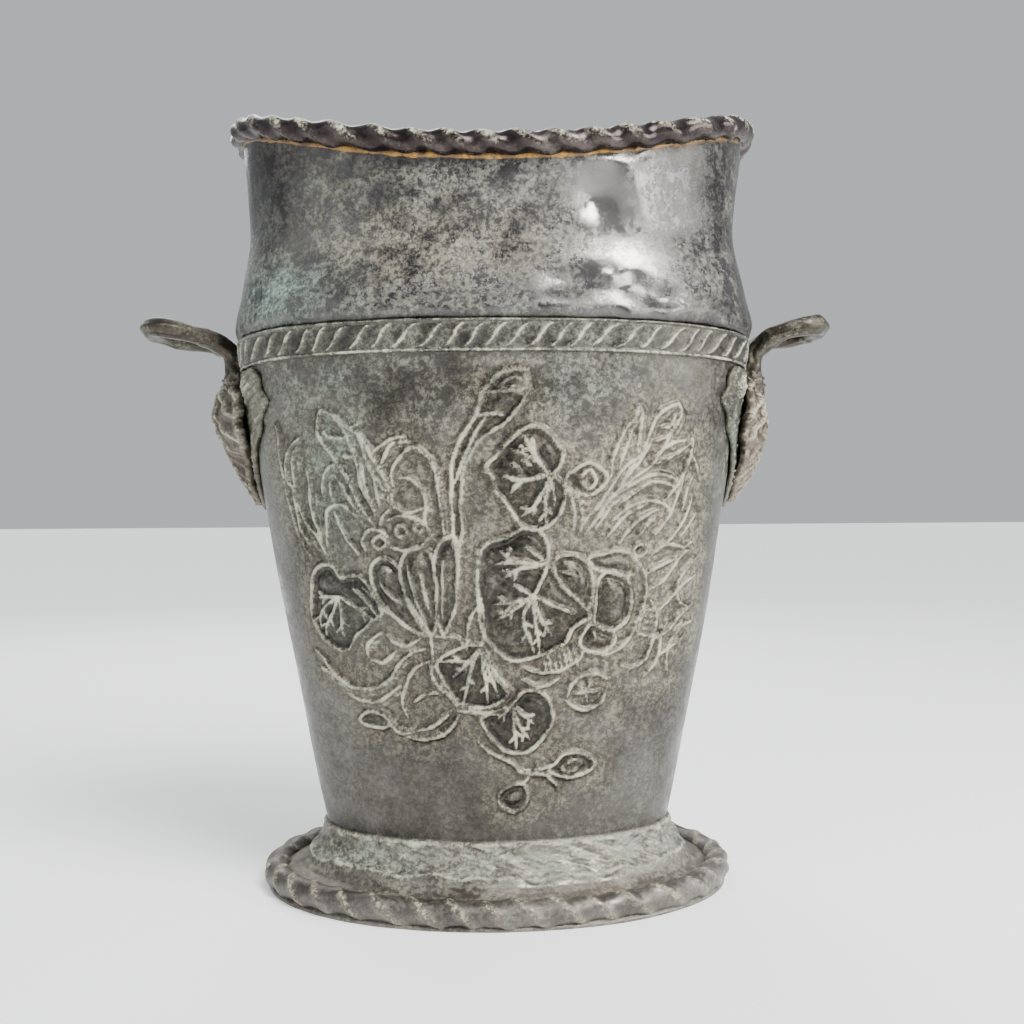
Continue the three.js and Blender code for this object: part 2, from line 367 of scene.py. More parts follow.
class Graph:
    """Writes the nodes of a material or a node group."""

    def __init__(self, tree: bpy.types.NodeTree) -> None:
        """Keeps the tree to write in."""
        self.tree = tree

    def node(self, kind: str, inputs: dict | None = None, **settings) -> bpy.types.Node:
        """Adds a node.

        Args:
            kind: the node's type, without its ShaderNode prefix.
            inputs: its inputs by name or number: a socket to link, or a value.
            settings: its own properties.

        Returns:
            The node.
        """
        made = self.tree.nodes.new("ShaderNode" + kind)
        for key, value in settings.items():
            setattr(made, key, value)
        for key, value in (inputs or {}).items():
            if isinstance(value, bpy.types.NodeSocket):
                self.tree.links.new(value, made.inputs[key])
            else:
                made.inputs[key].default_value = value
        return made

    def math(self, kind: str, first: Socket, second: Socket = 0.0) -> bpy.types.NodeSocket:
        """A sum of two values, such as ADD or MULTIPLY."""
        return self.node("Math", {0: first, 1: second}, operation=kind, use_clamp=True).outputs[0]

    def noise(self, vector: Socket, scale: float, detail: float, roughness: float) -> bpy.types.NodeSocket:
        """Cloudy values from 0 to 1."""
        inputs = {"Vector": vector, "Scale": scale, "Detail": detail, "Roughness": roughness}
        return self.node("TexNoise", inputs).outputs["Fac"]

    def stretch(
        self, value: Socket, low: float, high: float, to_low: float = 0.0, to_high: float = 1.0
    ) -> bpy.types.NodeSocket:
        """Values from low to high, stretched to another range and held there."""
        inputs = {"Value": value, "From Min": low, "From Max": high, "To Min": to_low, "To Max": to_high}
        return self.node("MapRange", inputs, interpolation_type="SMOOTHSTEP").outputs["Result"]

    def blend(self, share: Socket, low: Socket, high: Socket) -> bpy.types.NodeSocket:
        """A mix of two values."""
        return self.node("Mix", {0: share, 2: low, 3: high}, data_type="FLOAT").outputs[0]

    def tint(self, share: Socket, low: Socket, high: Socket) -> bpy.types.NodeSocket:
        """A mix of two colours."""
        return self.node("Mix", {0: share, 6: low, 7: high}, data_type="RGBA").outputs[2]

    def group(self, tree: bpy.types.NodeTree, inputs: dict) -> bpy.types.Node:
        """Places a node group.

        Args:
            tree: the group's node tree.
            inputs: what goes into its sockets, by label.

        Returns:
            The group's node.
        """
        return self.node("Group", inputs, node_tree=tree)


def new_group(
    name: str, inputs: dict[str, str], outputs: dict[str, str]
) -> tuple[Graph, dict, bpy.types.Node]:
    """Starts a node group.

    Args:
        name: the group's name.
        inputs: each input's name and kind: Float, Vector or Color.
        outputs: each output's name and kind.

    Returns:
        The group's graph, its inputs by name, and its output node.
    """
    tree = bpy.data.node_groups.new(name, "ShaderNodeTree")
    for side, sockets in (("INPUT", inputs), ("OUTPUT", outputs)):
        for label, kind in sockets.items():
            tree.interface.new_socket(name=label, in_out=side, socket_type="NodeSocket" + kind)
    start = tree.nodes.new("NodeGroupInput")
    end = tree.nodes.new("NodeGroupOutput")
    return Graph(tree), {label: start.outputs[label] for label in inputs}, end


def clouds_group() -> bpy.types.NodeTree:
    """Old metal's variation at three sizes: Cloud, Mottle and Speckle.

    Returns:
        The group's node tree.
    """
    graph, given, end = new_group(
        "old_metal_clouds", {"Place": "Vector"}, {"Cloud": "Float", "Mottle": "Float", "Speckle": "Float"}
    )
    sizes = {"Cloud": (15, 4, 0.36, 0.66), "Mottle": (85, 9, 0.38, 0.66), "Speckle": (480, 12, 0.455, 0.575)}
    for label, (scale, detail, low, high) in sizes.items():
        roughness = 0.86 if label == "Speckle" else 0.78
        value = graph.stretch(graph.noise(given["Place"], scale, detail, roughness), low, high)
        graph.tree.links.new(value, end.inputs[label])
    return graph.tree


def verdigris_group() -> bpy.types.NodeTree:
    """Where a pale green-white crust lies, and its colour. On the ropes the crest's pale colour is partly a
    painted highlight.

    Returns:
        The group's node tree.
    """
    inputs = {"Cloud": "Float", "Mottle": "Float", "Speckle": "Float", "Crest": "Float", "Amount": "Float"}
    graph, given, end = new_group("verdigris", inputs, {"Cover": "Float", "Colour": "Color"})
    patch = graph.math("MULTIPLY", given["Mottle"], graph.stretch(given["Cloud"], 0.1, 0.9, 0.3, 1.0))
    patch = graph.math("MULTIPLY", patch, graph.stretch(given["Speckle"], 0.1, 0.9, 0.08, 1.0))
    field_cover = graph.math("MULTIPLY", patch, given["Amount"])
    broken = graph.math("ADD", given["Crest"], graph.stretch(given["Speckle"], 0.0, 1.0, -0.15, 0.35))
    broken = graph.math("SUBTRACT", broken, graph.stretch(given["Mottle"], 0.0, 1.0, 0.4, 0.0))
    line_cover = graph.stretch(broken, 0.08, 0.85, 0.0, 1.0)
    line_cover = graph.math("MULTIPLY", line_cover, graph.stretch(given["Crest"], 0.0, 0.2))
    cover = graph.math("MAXIMUM", field_cover, line_cover)
    colour = graph.tint(given["Cloud"], (0.385, 0.36, 0.24, 1), (0.325, 0.365, 0.295, 1))
    # The pale crest colour: crust, and on the ropes partly a painted highlight.
    colour = graph.tint(graph.math("MULTIPLY", line_cover, 0.85), colour, (0.58, 0.575, 0.43, 1))
    graph.tree.links.new(cover, end.inputs["Cover"])
    graph.tree.links.new(colour, end.inputs["Colour"])
    return graph.tree


def zones_group() -> bpy.types.NodeTree:
    """Local colours over the tarnish: Mint bloom, Rust-coloured braze, Bare worn brass and tan Dust.

    Returns:
        The group's node tree.
    """
    inputs = {
        "Colour": "Color",
        "Cover": "Float",
        "Mottle": "Float",
        "Speckle": "Float",
        "Mint": "Float",
        "Rust": "Float",
        "Bare": "Float",
        "Dust": "Float",
    }
    graph, given, end = new_group("local_colours", inputs, {"Colour": "Color", "Matt": "Float"})
    broken = graph.stretch(given["Mottle"], 0.1, 0.75, 0.15, 1.0)
    fine = graph.stretch(given["Speckle"], 0.05, 0.7, 0.25, 1.0)
    mint = graph.math("MULTIPLY", graph.math("MULTIPLY", given["Mint"], broken), fine)
    dust = graph.math("MULTIPLY", given["Dust"], graph.stretch(given["Speckle"], 0.0, 1.0, 0.12, 1.0))
    dust = graph.math("MULTIPLY", dust, graph.stretch(given["Mottle"], 0.0, 0.8, 0.35, 1.0))
    rust = graph.math("MULTIPLY", given["Rust"], broken)
    bare = graph.math("MULTIPLY", given["Bare"], graph.stretch(given["Speckle"], 0.0, 1.0, 0.85, 0.6))
    colour = graph.tint(bare, given["Colour"], (0.25, 0.245, 0.235, 1))
    colour = graph.tint(dust, colour, (0.40, 0.35, 0.24, 1))
    colour = graph.tint(mint, colour, (0.27, 0.38, 0.33, 1))
    colour = graph.tint(rust, colour, (0.50, 0.27, 0.05, 1))
    matt = graph.math(
        "MAXIMUM", graph.math("MAXIMUM", given["Cover"], mint), graph.math("MAXIMUM", dust, rust)
    )
    matt = graph.math("MULTIPLY", matt, graph.stretch(given["Bare"], 0.0, 1.0, 1.0, 0.1))
    graph.tree.links.new(colour, end.inputs["Colour"])
    graph.tree.links.new(matt, end.inputs["Matt"])
    return graph.tree


@dataclass(frozen=True)
class Patina:
    """A finish of old brass: two tones of tarnish, some crust and a worn sheen.

    The colours are linear. Roughness is low on clean metal, and the crust is matt.
    """

    name: str
    dark: tuple[float, float, float]
    light: tuple[float, float, float]
    crust: float = 0.5
    gloss: float = 0.38
    metal: float = 0.85
    grain: float = 0.5

    def made(self, groups: dict[str, bpy.types.NodeTree]) -> bpy.types.Material:
        """Builds the material.

        Args:
            groups: the shared node groups, by name.

        Returns:
            The material.
        """
        material = bpy.data.materials.new(self.name)
        material.use_nodes = True
        material.node_tree.nodes.clear()
        graph = Graph(material.node_tree)

        def painted(name: str) -> bpy.types.NodeSocket:
            """A vertex attribute's value."""
            return graph.node("Attribute", attribute_name=name).outputs["Fac"]

        place = graph.node("TexCoord").outputs["Object"]
        furrow = painted(FURROW)
        clouds = graph.group(groups["clouds"], {"Place": place}).outputs
        sizes = {"Mottle": clouds["Mottle"], "Speckle": clouds["Speckle"]}
        amount = graph.math("MULTIPLY", graph.math("SUBTRACT", 1.0, painted("clean")), self.crust)
        crust_inputs = {"Cloud": clouds["Cloud"], **sizes, "Crest": painted(CREST), "Amount": amount}
        crust = graph.group(groups["crust"], crust_inputs).outputs
        mixed = graph.math("MULTIPLY", clouds["Cloud"], 0.6)
        mixed = graph.math("ADD", mixed, graph.math("MULTIPLY", clouds["Speckle"], 0.3))
        tone = graph.tint(mixed, (*self.dark, 1), (*self.light, 1))
        # Darker tarnish where the furrow attribute is high: patina in hollows, and painted shade on the neck.
        tone = graph.tint(graph.math("MULTIPLY", furrow, 0.85), tone, (*[c * 0.4 for c in self.dark], 1))
        clear = graph.math("SUBTRACT", 1.0, graph.math("MULTIPLY", furrow, 0.75))
        cover = graph.math("MULTIPLY", crust["Cover"], clear)
        colour = graph.tint(cover, tone, crust["Colour"])
        zones = {"Colour": colour, "Cover": cover, **sizes}
        zones |= {label.capitalize(): painted(label) for label in ("mint", "rust", "bare", "dust")}
        local = graph.group(groups["zones"], zones).outputs
        sheen = graph.stretch(clouds["Mottle"], 0, 1, self.gloss, self.gloss + 0.16)
        sheen = graph.math("MULTIPLY", sheen, graph.stretch(painted("bare"), 0.0, 1.0, 1.0, 0.62))
        rough = graph.blend(local["Matt"], sheen, 0.9)
        metallic = graph.blend(local["Matt"], self.metal, 0.0)
        height = graph.math("MULTIPLY", clouds["Speckle"], graph.math("MULTIPLY", cover, 0.5))
        height = graph.math("ADD", height, graph.math("MULTIPLY", cover, 0.5))
        bump = graph.node("Bump", {"Height": height, "Strength": self.grain, "Distance": 0.0006})
        surface = {"Base Color": local["Colour"], "Roughness": rough, "Metallic": metallic}
        shader = graph.node("BsdfPrincipled", surface | {"Normal": bump.outputs["Normal"]})
        graph.node("OutputMaterial", {"Surface": shader.outputs["BSDF"]})
        return material


# ---------------------------------------------------------------- the relief's drawing


@dataclass(frozen=True)
class Stroke:
    """A raised line of the relief, in millimetres on the front face: across from the middle, and up."""

    points: Line
    closed: bool = False
    wide: float = 1.15
    high: float = 1.25
    pillow: float = 0.0
    shade: float = 0.0
    pale: float = 1.0

    def dense(self) -> np.ndarray:
        """The line's points, about a millimetre apart.

        Returns:
            The points, one row each.
        """
        points = self.points + self.points[:1] if self.closed else self.points
        length = sum(math.dist(p, q) for p, q in zip(points, points[1:]))
        return smooth_line(points, max(9, int(length / 1.0)))


def lines(*drawn: Line, **settings) -> tuple[Stroke, ...]:
    """Open strokes that share their settings."""
    return tuple(Stroke(points, **settings) for points in drawn)


def shapes(*drawn: Line, pillow: float = 1.6, shade: float = 0.6, pale: float = 1.0) -> tuple[Stroke, ...]:
    """Closed strokes that swell in the middle and are darker inside."""
    return tuple(Stroke(points, closed=True, pillow=pillow, shade=shade, pale=pale) for points in drawn)


def fan(hub: tuple[float, float], *ends: tuple[float, float], wide: float = 1.0) -> tuple[Stroke, ...]:
    """Veins that run from a hub to each end."""
    return tuple(Stroke((hub, end), wide=wide, high=1.0) for end in ends)


def twigs(*drawn: Line, wide: float = 1.15, long: float = 4.2) -> tuple[Stroke, ...]:
    """Veins with a pair of short side veins, like coral.

    Args:
        drawn: the veins, each from its hub to its tip.
        wide: how wide a vein is.
        long: how long a side vein is.

    Returns:
        The veins and their side veins.
    """
    made = lines(*drawn, wide=wide)
    for points in drawn:
        path = smooth_line(points, 21)
        for share, lean in ((0.55, 0.75), (0.74, -0.8)):
            start = path[int(20 * share)]
            heading = path[20] - path[int(20 * share)]
            heading = heading / max(float(np.linalg.norm(heading)), 1e-6)
            cos, sin = math.cos(lean), math.sin(lean)
            side = np.array([cos * heading[0] - sin * heading[1], sin * heading[0] + cos * heading[1]])
            made += (Stroke((tuple(start), tuple(start + side * long)), wide=wide * 0.85, high=1.1),)
    return made


def echoes(strokes: Sequence[Stroke], across: float, up: float, trim: int = 1) -> tuple[Stroke, ...]:
    """Strokes with a slimmer copy beside each, a little shorter.

    Args:
        strokes: the strokes to copy.
        across: how far across each copy is moved, in millimetres.
        up: how far up each copy is moved, in millimetres.
        trim: how many of the first points a copy leaves out.

    Returns:
        The strokes and their copies.
    """
    copies = []
    for stroke in strokes:
        kept = stroke.points[trim:] if len(stroke.points) > trim + 2 else stroke.points
        moved = tuple((x + across, z + up) for x, z in kept)
        copies.append(Stroke(moved, wide=stroke.wide * 0.8, high=stroke.high * 0.65, pale=0.45))
    return tuple(strokes) + tuple(copies)


RIBBON_LEAF = (
    shapes(
        ((-15.5, 147), (-17, 156), (-17.5, 168), (-17.8, 178), (-17, 186), (-14.5, 193), (-10.5, 199),
         (-7.7, 204.5), (-6, 210), (-4, 213.5), (0, 218), (5, 220.5), (10, 220.5), (12.3, 217),
         (12, 212), (9, 206), (4, 200.5), (-1, 197), (-5, 194.5), (-9, 190), (-12, 184), (-13.5, 177),
         (-14, 168), (-13.7, 158)),
        pillow=2.2,
    )
    + lines(
        ((-16.3, 177), (-11.6, 189), (-7.6, 197), (-4, 203)),
        ((-6, 212.3), (2, 212.5), (10.5, 211.5)),
        ((-7.5, 203.3), (-2, 203.8), (3.5, 203)),
    )
    + shapes(((2, 215), (7, 218), (11, 216.5), (11.5, 213.5), (6, 212.5)), pillow=0.6)
)
ARCH_PETAL = lines(
    ((-41, 176), (-41.5, 181), (-39, 186), (-35, 190), (-32, 191), (-27, 187), (-24, 180), (-22.5, 172),
     (-21.5, 162), (-20.5, 155)),
    ((-38, 179), (-34, 178.5), (-31, 175.5), (-28.7, 172), (-28, 168), (-28.5, 163), (-26.5, 157),
     (-24.5, 154)),
    ((-43.5, 172), (-41.5, 168.5), (-38, 166), (-34.5, 165), (-29, 167)),
    ((-48.5, 190), (-44.5, 192.5), (-40.5, 194.5), (-36.5, 195)),
    ((-46, 183), (-44.5, 187), (-42.5, 191), (-40, 193)),
)
LEFT_LONG_LEAVES = lines(
    ((-71, 207), (-72, 204), (-72.3, 200.5), (-71.8, 196.5), (-69.8, 193), (-67.3, 190), (-65, 187),
     (-61.5, 182.3), (-58, 178.3), (-54.5, 175.5)),
    ((-71, 207), (-69.3, 206), (-66.3, 204.8), (-63.5, 202.3), (-61, 199), (-59.3, 194.5),
     (-57.5, 190.5), (-55.8, 186), (-55, 180.5), (-54, 175.8), (-52, 171.3), (-49.3, 166)),
    ((-69.5, 198), (-66.7, 195.7), (-60.5, 195.3)),
    ((-62.5, 188), (-57, 187)),
    ((-54.5, 200.5), (-58, 199), (-55.3, 196), (-53.5, 192.5), (-51.8, 186.7), (-49.5, 181),
     (-46.7, 177), (-43.8, 173.3)),
    ((-56, 198), (-52.3, 193.6), (-49.5, 187.3), (-46, 181.5), (-43.2, 175.8), (-41, 169.3)),
    ((-54, 186), (-52.5, 176), (-48.5, 164)),
    ((-50, 184), (-48, 175), (-46, 166)),
)
NESTED_TONGUES = lines(
    ((-70.5, 172), (-70.7, 176), (-69.5, 180.7), (-67.5, 183.7), (-65, 184), (-61.5, 181), (-58, 175.5),
     (-55.3, 169), (-53, 165), (-49.7, 160.5)),
    ((-67.5, 179.5), (-65, 180.3), (-62, 176.3), (-59, 170.7), (-56.5, 166.7), (-53.7, 163)),
    ((-67, 178), (-67, 173.3), (-66.2, 169.8)),
    ((-69.3, 152), (-69.3, 154.5), (-69, 160), (-68.7, 165.5), (-66, 168), (-62.3, 168.5), (-58, 165),
     (-53, 160)),
    ((-65.7, 166), (-64, 162), (-62.7, 158.7), (-61, 154.7), (-56, 148)),
)
LEFT_EDGE_LEAF = lines(
    ((-80.5, 196.5), (-84.5, 193), (-87, 188), (-87.5, 183), (-86.5, 178.5), (-84, 175.7), (-83.5, 170),
     (-83.3, 165)),
    ((-82, 192.7), (-84, 188.8), (-84, 183), (-83.5, 176.8)),
    ((-83.5, 170), (-81.7, 160.5), (-79, 155.5), (-76, 149.7)),
    ((-82.5, 169), (-78, 160.5), (-73, 155), (-70.3, 149)),
    ((-92, 203), (-90.5, 196), (-90, 188), (-88, 178), (-86, 168), (-82, 156), (-77, 146)),
    ((-78, 186), (-76.5, 178), (-76, 170), (-74.5, 162), (-71.5, 154)),
)
BERRIES = (
    shapes(((-40.7, 157.5), (-38.3, 159.9), (-35.9, 157.5), (-38.3, 155.1)), pillow=0.8, pale=0.75)
    + shapes(((-33, 159.3), (-31, 161.3), (-29, 159.3), (-31, 157.3)), pillow=0.8, pale=0.6)
    + shapes(((-49.8, 153), (-47, 155.8), (-44.2, 153), (-47, 150.2)), pillow=0.8)
    + lines(
        ((-44, 162), (-38, 163.5), (-31, 162.5), (-26.5, 159)),
        ((-42.5, 151), (-36, 150), (-30, 151.5), (-27, 155)),
    )
    + lines(
        ((-53.3, 150), (-54, 154), (-51, 158.3), (-47, 158), (-43.3, 155)),
        ((-46.8, 160.3), (-45.7, 163.2), (-42.3, 166.7)),
    )
)
TULIP = (
    shapes(
        ((-28, 115.5), (-31.5, 116), (-37.7, 119.5), (-42.5, 123.5), (-46.2, 128.5), (-49.3, 133.3),
         (-50.8, 138.3), (-51, 142), (-50, 144.5), (-47.5, 146.5), (-44.5, 146.2), (-41.3, 144.4),
         (-39.2, 142.3), (-38.6, 138), (-37.7, 133.8), (-36.5, 129.5), (-34, 124.2), (-31, 119.3)),
        ((-26.5, 115.5), (-31, 122), (-36, 131), (-39, 138), (-39, 142), (-37.7, 146.5), (-35.2, 150),
         (-32.2, 151.6), (-28.5, 150.5), (-26, 147), (-25, 143), (-24.3, 137), (-24, 131),
         (-24.4, 124.8), (-25, 119.3)),
        ((-22, 115.7), (-24, 124), (-24.2, 134), (-25, 146), (-23.2, 151.3), (-20.8, 154.3), (-16, 155),
         (-15.8, 149), (-15.5, 143), (-15.7, 137), (-16, 131), (-17, 125.5), (-19, 120.5)),
        pillow=2.4,
    )
    + lines(
        ((-47, 137), (-42.7, 131.7), (-37.7, 127.5)),
        ((-36, 144), (-34, 135), (-31.7, 128), (-28.6, 120.5)),
        ((-30.3, 140.4), (-28.5, 132), (-26, 123)),
        ((-21.4, 146), (-21.7, 134), (-22, 122)),
        ((-25.3, 115), (-20.8, 114.8), (-16, 114.4), (-12.4, 109.6)),
        wide=0.95,
    )
)
STEM = lines(
    ((-27, 115), (-26, 109.6), (-26.3, 104.7), (-26.8, 100.4), (-25, 96), (-22, 92.8), (-19, 90.2),
     (-17, 87), (-16.5, 84)),
    ((-16, 83.8), (-10, 83.5), (-5, 83), (0, 84.3), (6, 86)),
    wide=1.4,
)
LEFT_SCROLLS = lines(
    ((-29.3, 109.5), (-34, 108.2), (-37.6, 105.7), (-40.7, 102), (-43, 98.3), (-46, 95), (-49.7, 93),
     (-53.3, 92), (-58, 92), (-62.5, 93.5), (-67, 97), (-70.7, 100.7), (-73, 104.5), (-77, 107.5)),
    ((-74.7, 100), (-70.7, 98.5), (-65, 94.7)),
    ((-63, 90), (-57, 87.5), (-49.8, 87), (-44.8, 89.7), (-40, 93.7)),
    ((-45, 115.3), (-43, 112.7), (-40, 111.4), (-36.4, 111.2), (-32.8, 112.5), (-30.4, 114.4)),
    ((-53.2, 106), (-53, 110.5), (-51, 113.5), (-48, 115.7)),
    ((-52, 104.6), (-47, 103.5), (-43.6, 105.6), (-41, 109)),
    wide=1.25,
)
LEFT_ROUND_LEAF = (
    shapes(
        ((-64.5, 138.8), (-66.6, 142), (-70, 144), (-74, 143), (-76.5, 139), (-77.5, 132), (-77.5, 122.5),
         (-75.3, 117), (-72.5, 112.7), (-67.8, 109.3), (-64, 108), (-61, 109), (-59, 112.3), (-57.3, 115.3),
         (-54.2, 118), (-51.5, 121), (-47, 124), (-50, 131), (-55.7, 139), (-60, 139.5)),
        pillow=0.9,
        shade=0.9,
    )
    + twigs(
        ((-64.3, 131), (-71.3, 125.6), (-74, 117)),
        ((-64.3, 131), (-71.7, 114.5)),
        ((-64.3, 131), (-63, 113)),
        ((-64.3, 131), (-50.5, 121.6)),
        ((-64.3, 131), (-74, 130)),
        wide=1.05,
    )
    + lines(
        ((-59, 134.5), (-52.6, 128.3), (-47, 120.5)),
        ((-55.2, 134.5), (-49.5, 129.5), (-43.8, 123.4)),
        wide=0.95,
    )
)
LOWER_LEFT_LEAVES = shapes(
    ((-57, 78), (-54.6, 82), (-50.7, 82.6), (-47, 81), (-44.3, 78.5), (-46.3, 76), (-50.3, 76)), pillow=0.9
) + lines(
    ((-26.8, 105), (-31.7, 102.6), (-35.2, 98.8), (-37, 94.4), (-38.5, 90), (-38.5, 85.6), (-36.8, 81)),
    ((-34, 87.3), (-31, 90), (-26.8, 91.2), (-22, 90.5)),
    ((-44, 77.5), (-40.2, 74.3), (-35.3, 74.3)),
    ((-37.2, 72.5), (-33, 71.5), (-28.3, 72), (-23.2, 73.5), (-19.5, 76), (-17, 79), (-15.8, 82.5)),
    ((-33, 75), (-26.8, 77), (-22, 80.5), (-19.5, 83)),
)
FAN_LEAF = shapes(
    ((-24, 104.7), (-22, 97), (-16, 88), (-9.8, 85.5), (-3, 86), (4, 91), (-1, 99), (-5, 109.5),
     (-12, 111)),
    pillow=0.7,
    shade=0.95,
) + twigs(
    ((-7, 110), (-10.5, 105.2), (-23.8, 104.7)),
    ((-7, 110), (-12, 104), (-18, 98)),
    ((-7, 110), (-11.2, 99.3), (-13.5, 87.5)),
    ((-7, 110), (-5, 99), (-3.8, 87.3)),
    ((-7, 110), (-4.5, 104.3), (0.3, 90)),
    wide=1.2,
    long=3.2,
) + lines(
    ((-7.5, 150), (-8, 139.5), (-7, 131.8), (-5.7, 124), (-5, 115.3), (-7, 110)),
    ((-8, 127), (-11, 121), (-12.4, 109.6)),
    ((-5, 109.5), (-2.5, 103), (1.3, 97.7), (6.8, 92)),
)
LOBED_LEAF = (
    shapes(
        ((-4, 183), (1, 188), (6, 193.5), (10, 197.5), (14, 199), (18.5, 198), (22.5, 194.5),
         (25.5, 190.5), (26.4, 187), (25.3, 183), (23, 180), (25.5, 177), (27.5, 173.5), (27, 168.5),
         (25.7, 164.5), (23.3, 161.5), (19.2, 158.5), (14.5, 157.5), (10.2, 159.7), (7.3, 163.3),
         (4.3, 167.5), (1.3, 171.5), (-1, 175), (-1.5, 179)),
        pillow=0.9,
        shade=0.95,
    )
    + twigs(
        ((21.5, 180), (15, 188), (11, 195.5)),
        ((21.5, 180), (14.5, 186), (6.2, 190)),
        ((21.5, 180), (16, 168.5), (10.2, 163.7)),
        ((21.5, 180), (19.5, 167.5), (20, 161)),
        wide=1.25,
    )
    + lines(
        ((15, 188), (15, 193.3)),
        ((11, 185), (14.5, 183)),
        ((5, 184.5), (10, 180.5)),
        ((21.5, 180), (23.5, 167.3)),
        wide=1.05,
    )
    + lines(((21.5, 180), (10.2, 177.5), (3.2, 179.3)), ((10.2, 177.5), (6.3, 173)), wide=1.5)
)
DIAMOND = (
    shapes(((37, 184.5), (44.5, 178), (37, 171.5), (28, 177.5)), pillow=0.6)
    + shapes(((37.2, 182), (40, 177.5), (37.4, 174), (34, 178)), pillow=0.5)
    + lines(
        ((28, 175), (32, 171), (36.5, 167.5)),
        ((27.5, 176), (30.3, 169), (31.5, 163), (31, 157)),
        ((30.3, 175), (33.2, 169), (34.5, 163), (34, 156)),
    )
)
RIGHT_BLADES = lines(
    ((36, 156), (40, 162), (45, 169), (50, 174.5), (56, 179), (62, 182.5)),
    ((40, 158), (43, 163), (47, 168), (52, 171.5), (57, 174)),
    ((52, 178), (56, 183), (60, 188.5), (64, 195)),
    ((60, 181), (65, 186), (70, 194), (73, 201)),
    ((70, 170), (76, 178), (80, 187), (82, 197)),
    ((64, 154), (71, 163), (76, 175), (78, 184)),
    ((50, 152), (54, 158), (60, 163), (66, 166)),
    ((68, 150), (74, 156), (79, 164), (82, 172)),
)
RIGHT_GRASSES = lines(
    ((34.5, 158.5), (37, 163), (40.5, 166.7), (44, 171.5), (47, 176.5), (50, 181), (55, 185.5),
     (58.5, 187.3)),
    ((46.5, 171.5), (50.2, 175), (53.2, 181), (56.3, 184.5)),
    ((46.5, 177.5), (46.5, 183.5), (48, 190), (50.5, 195.5), (53.5, 200), (56, 203.5), (57.5, 207),
     (58.7, 205.5), (58.3, 201), (58, 195.5), (57, 190.5), (58.5, 187)),
    ((49.5, 182), (51.5, 189), (54.5, 197)),
    ((58.5, 187), (60.3, 191), (62.5, 197.5), (64.3, 202), (67, 205), (70.5, 207.5), (74, 208.5),
     (75.5, 207), (75.5, 203.5), (73, 199), (69.7, 195.5), (65, 193.5)),
    ((67, 199), (70.8, 199.5), (74, 204.7)),
    ((63.7, 186.5), (68.5, 190.5), (73.5, 193.5), (78.7, 194.5)),
    ((65, 184.2), (70.7, 186.8), (76.3, 190.5), (79.5, 192.5)),
    ((80, 189.5), (82.5, 185.5), (84.3, 181.5)),
)
RIGHT_ARCS = lines(
    ((48.2, 171.5), (52.7, 175), (59, 178), (64, 180), (69, 180), (73.5, 178.3), (76, 175.5)),
    ((50.3, 168.5), (56, 172.7), (61.8, 176.3), (66.8, 177.2), (71.7, 176), (75, 172)),
    ((46.8, 161.3), (51.7, 165.5), (58, 168.5), (64.3, 169.5), (69.5, 167.5), (71.5, 164.5)),
    ((45, 154.7), (50, 161.3), (55.7, 165.5), (61.3, 168)),
    ((57.5, 155), (61.5, 159.5), (65.3, 162.5)),
    ((76.5, 154), (80.5, 160), (84, 164.5)),
    ((77.5, 165.5), (79.3, 175.5), (82, 180)),
    ((75, 145.3), (68, 143), (61.5, 139.5)),
    ((84, 150), (77, 146.5), (70, 137), (63.5, 133)),
    ((85, 138), (78, 134), (72, 128), (67, 123)),
    ((84, 126), (78, 121), (72, 115), (66, 112)),
    ((80, 112), (74, 108), (68, 104)),
    ((86, 146), (80, 141), (76, 134), (77, 127), (82, 124)),
    ((84, 118), (79, 116.5), (74, 111), (71.5, 103), (72.5, 96)),
    ((72, 119), (69, 113.5), (68.5, 108), (66, 101), (61, 95.5)),
    ((64, 147), (67.5, 150.5), (72, 151.5), (78, 150), (83, 152.5)),
) + shapes(((56, 149), (58.7, 151.5), (61.4, 149), (58.7, 146.5)), pillow=1.0)
BIG_ROUND_LEAF = (
    shapes(
        ((-5, 151), (0, 154), (4.3, 154.7), (9, 157.7), (14, 158.3), (18, 156.5), (20.5, 153),
         (21.2, 149.6), (20.7, 145.2), (24.5, 138.7), (27.7, 134), (31.2, 131), (34.7, 127),
         (38, 122.7), (34.7, 120.4), (30.8, 117.3), (28.5, 112.6), (23.9, 109.5), (18.5, 107.2),
         (13.2, 105.6), (6.4, 104.8), (2, 107), (-2, 111), (-5, 115.5), (-7, 122), (-7.6, 132),
         (-7.6, 142)),
        pillow=1.0,
        shade=0.95,
    )
    + fan((20.7, 144.5), (0.5, 144.4), (11.2, 151), wide=1.25)
    + fan((14.5, 131), (6.6, 136), (31.5, 123.3), wide=1.2)
    + twigs(
        ((20.7, 144.5), (7.3, 145), (1.3, 149.7)),
        ((20.7, 144.5), (9, 142), (2.8, 138.4)),
        ((14.5, 131), (7.3, 128.9), (-1, 127.7)),
        ((14.5, 131), (7, 126), (-0.3, 121.7)),
        ((14.5, 131), (10.7, 121.7), (15, 108.5)),
        ((14.5, 131), (15.7, 118.6), (17.3, 107.9)),
        ((14.5, 131), (18, 121.7), (22.6, 114.4)),
        wide=1.3,
    )
    + lines(((25.3, 141), (29, 140.5), (32, 139.3)), ((14.5, 131), (18, 137), (20.7, 144.5)), wide=1.3)
)
CRESCENTS = lines(
    ((10.3, 102.5), (15.5, 99.8), (22.5, 99.8), (28.7, 101.8), (33.3, 105), (35.5, 108.8)),
    ((10.3, 97), (15, 94), (20.2, 94.6), (25, 97)),
    ((64.3, 127.8), (66.3, 122.7), (66, 117), (64.2, 109), (61, 103), (56, 100), (51.2, 101)),
    ((61, 127), (59.3, 120.3), (58, 113)),
) + tuple(
    tick
    for k in range(7)
    for tick in fan((20.5 + 2.1 * k, 99.4 + 0.07 * k * k), (18.6 + 2.0 * k, 106.6 + 0.7 * k), wide=0.8)
)
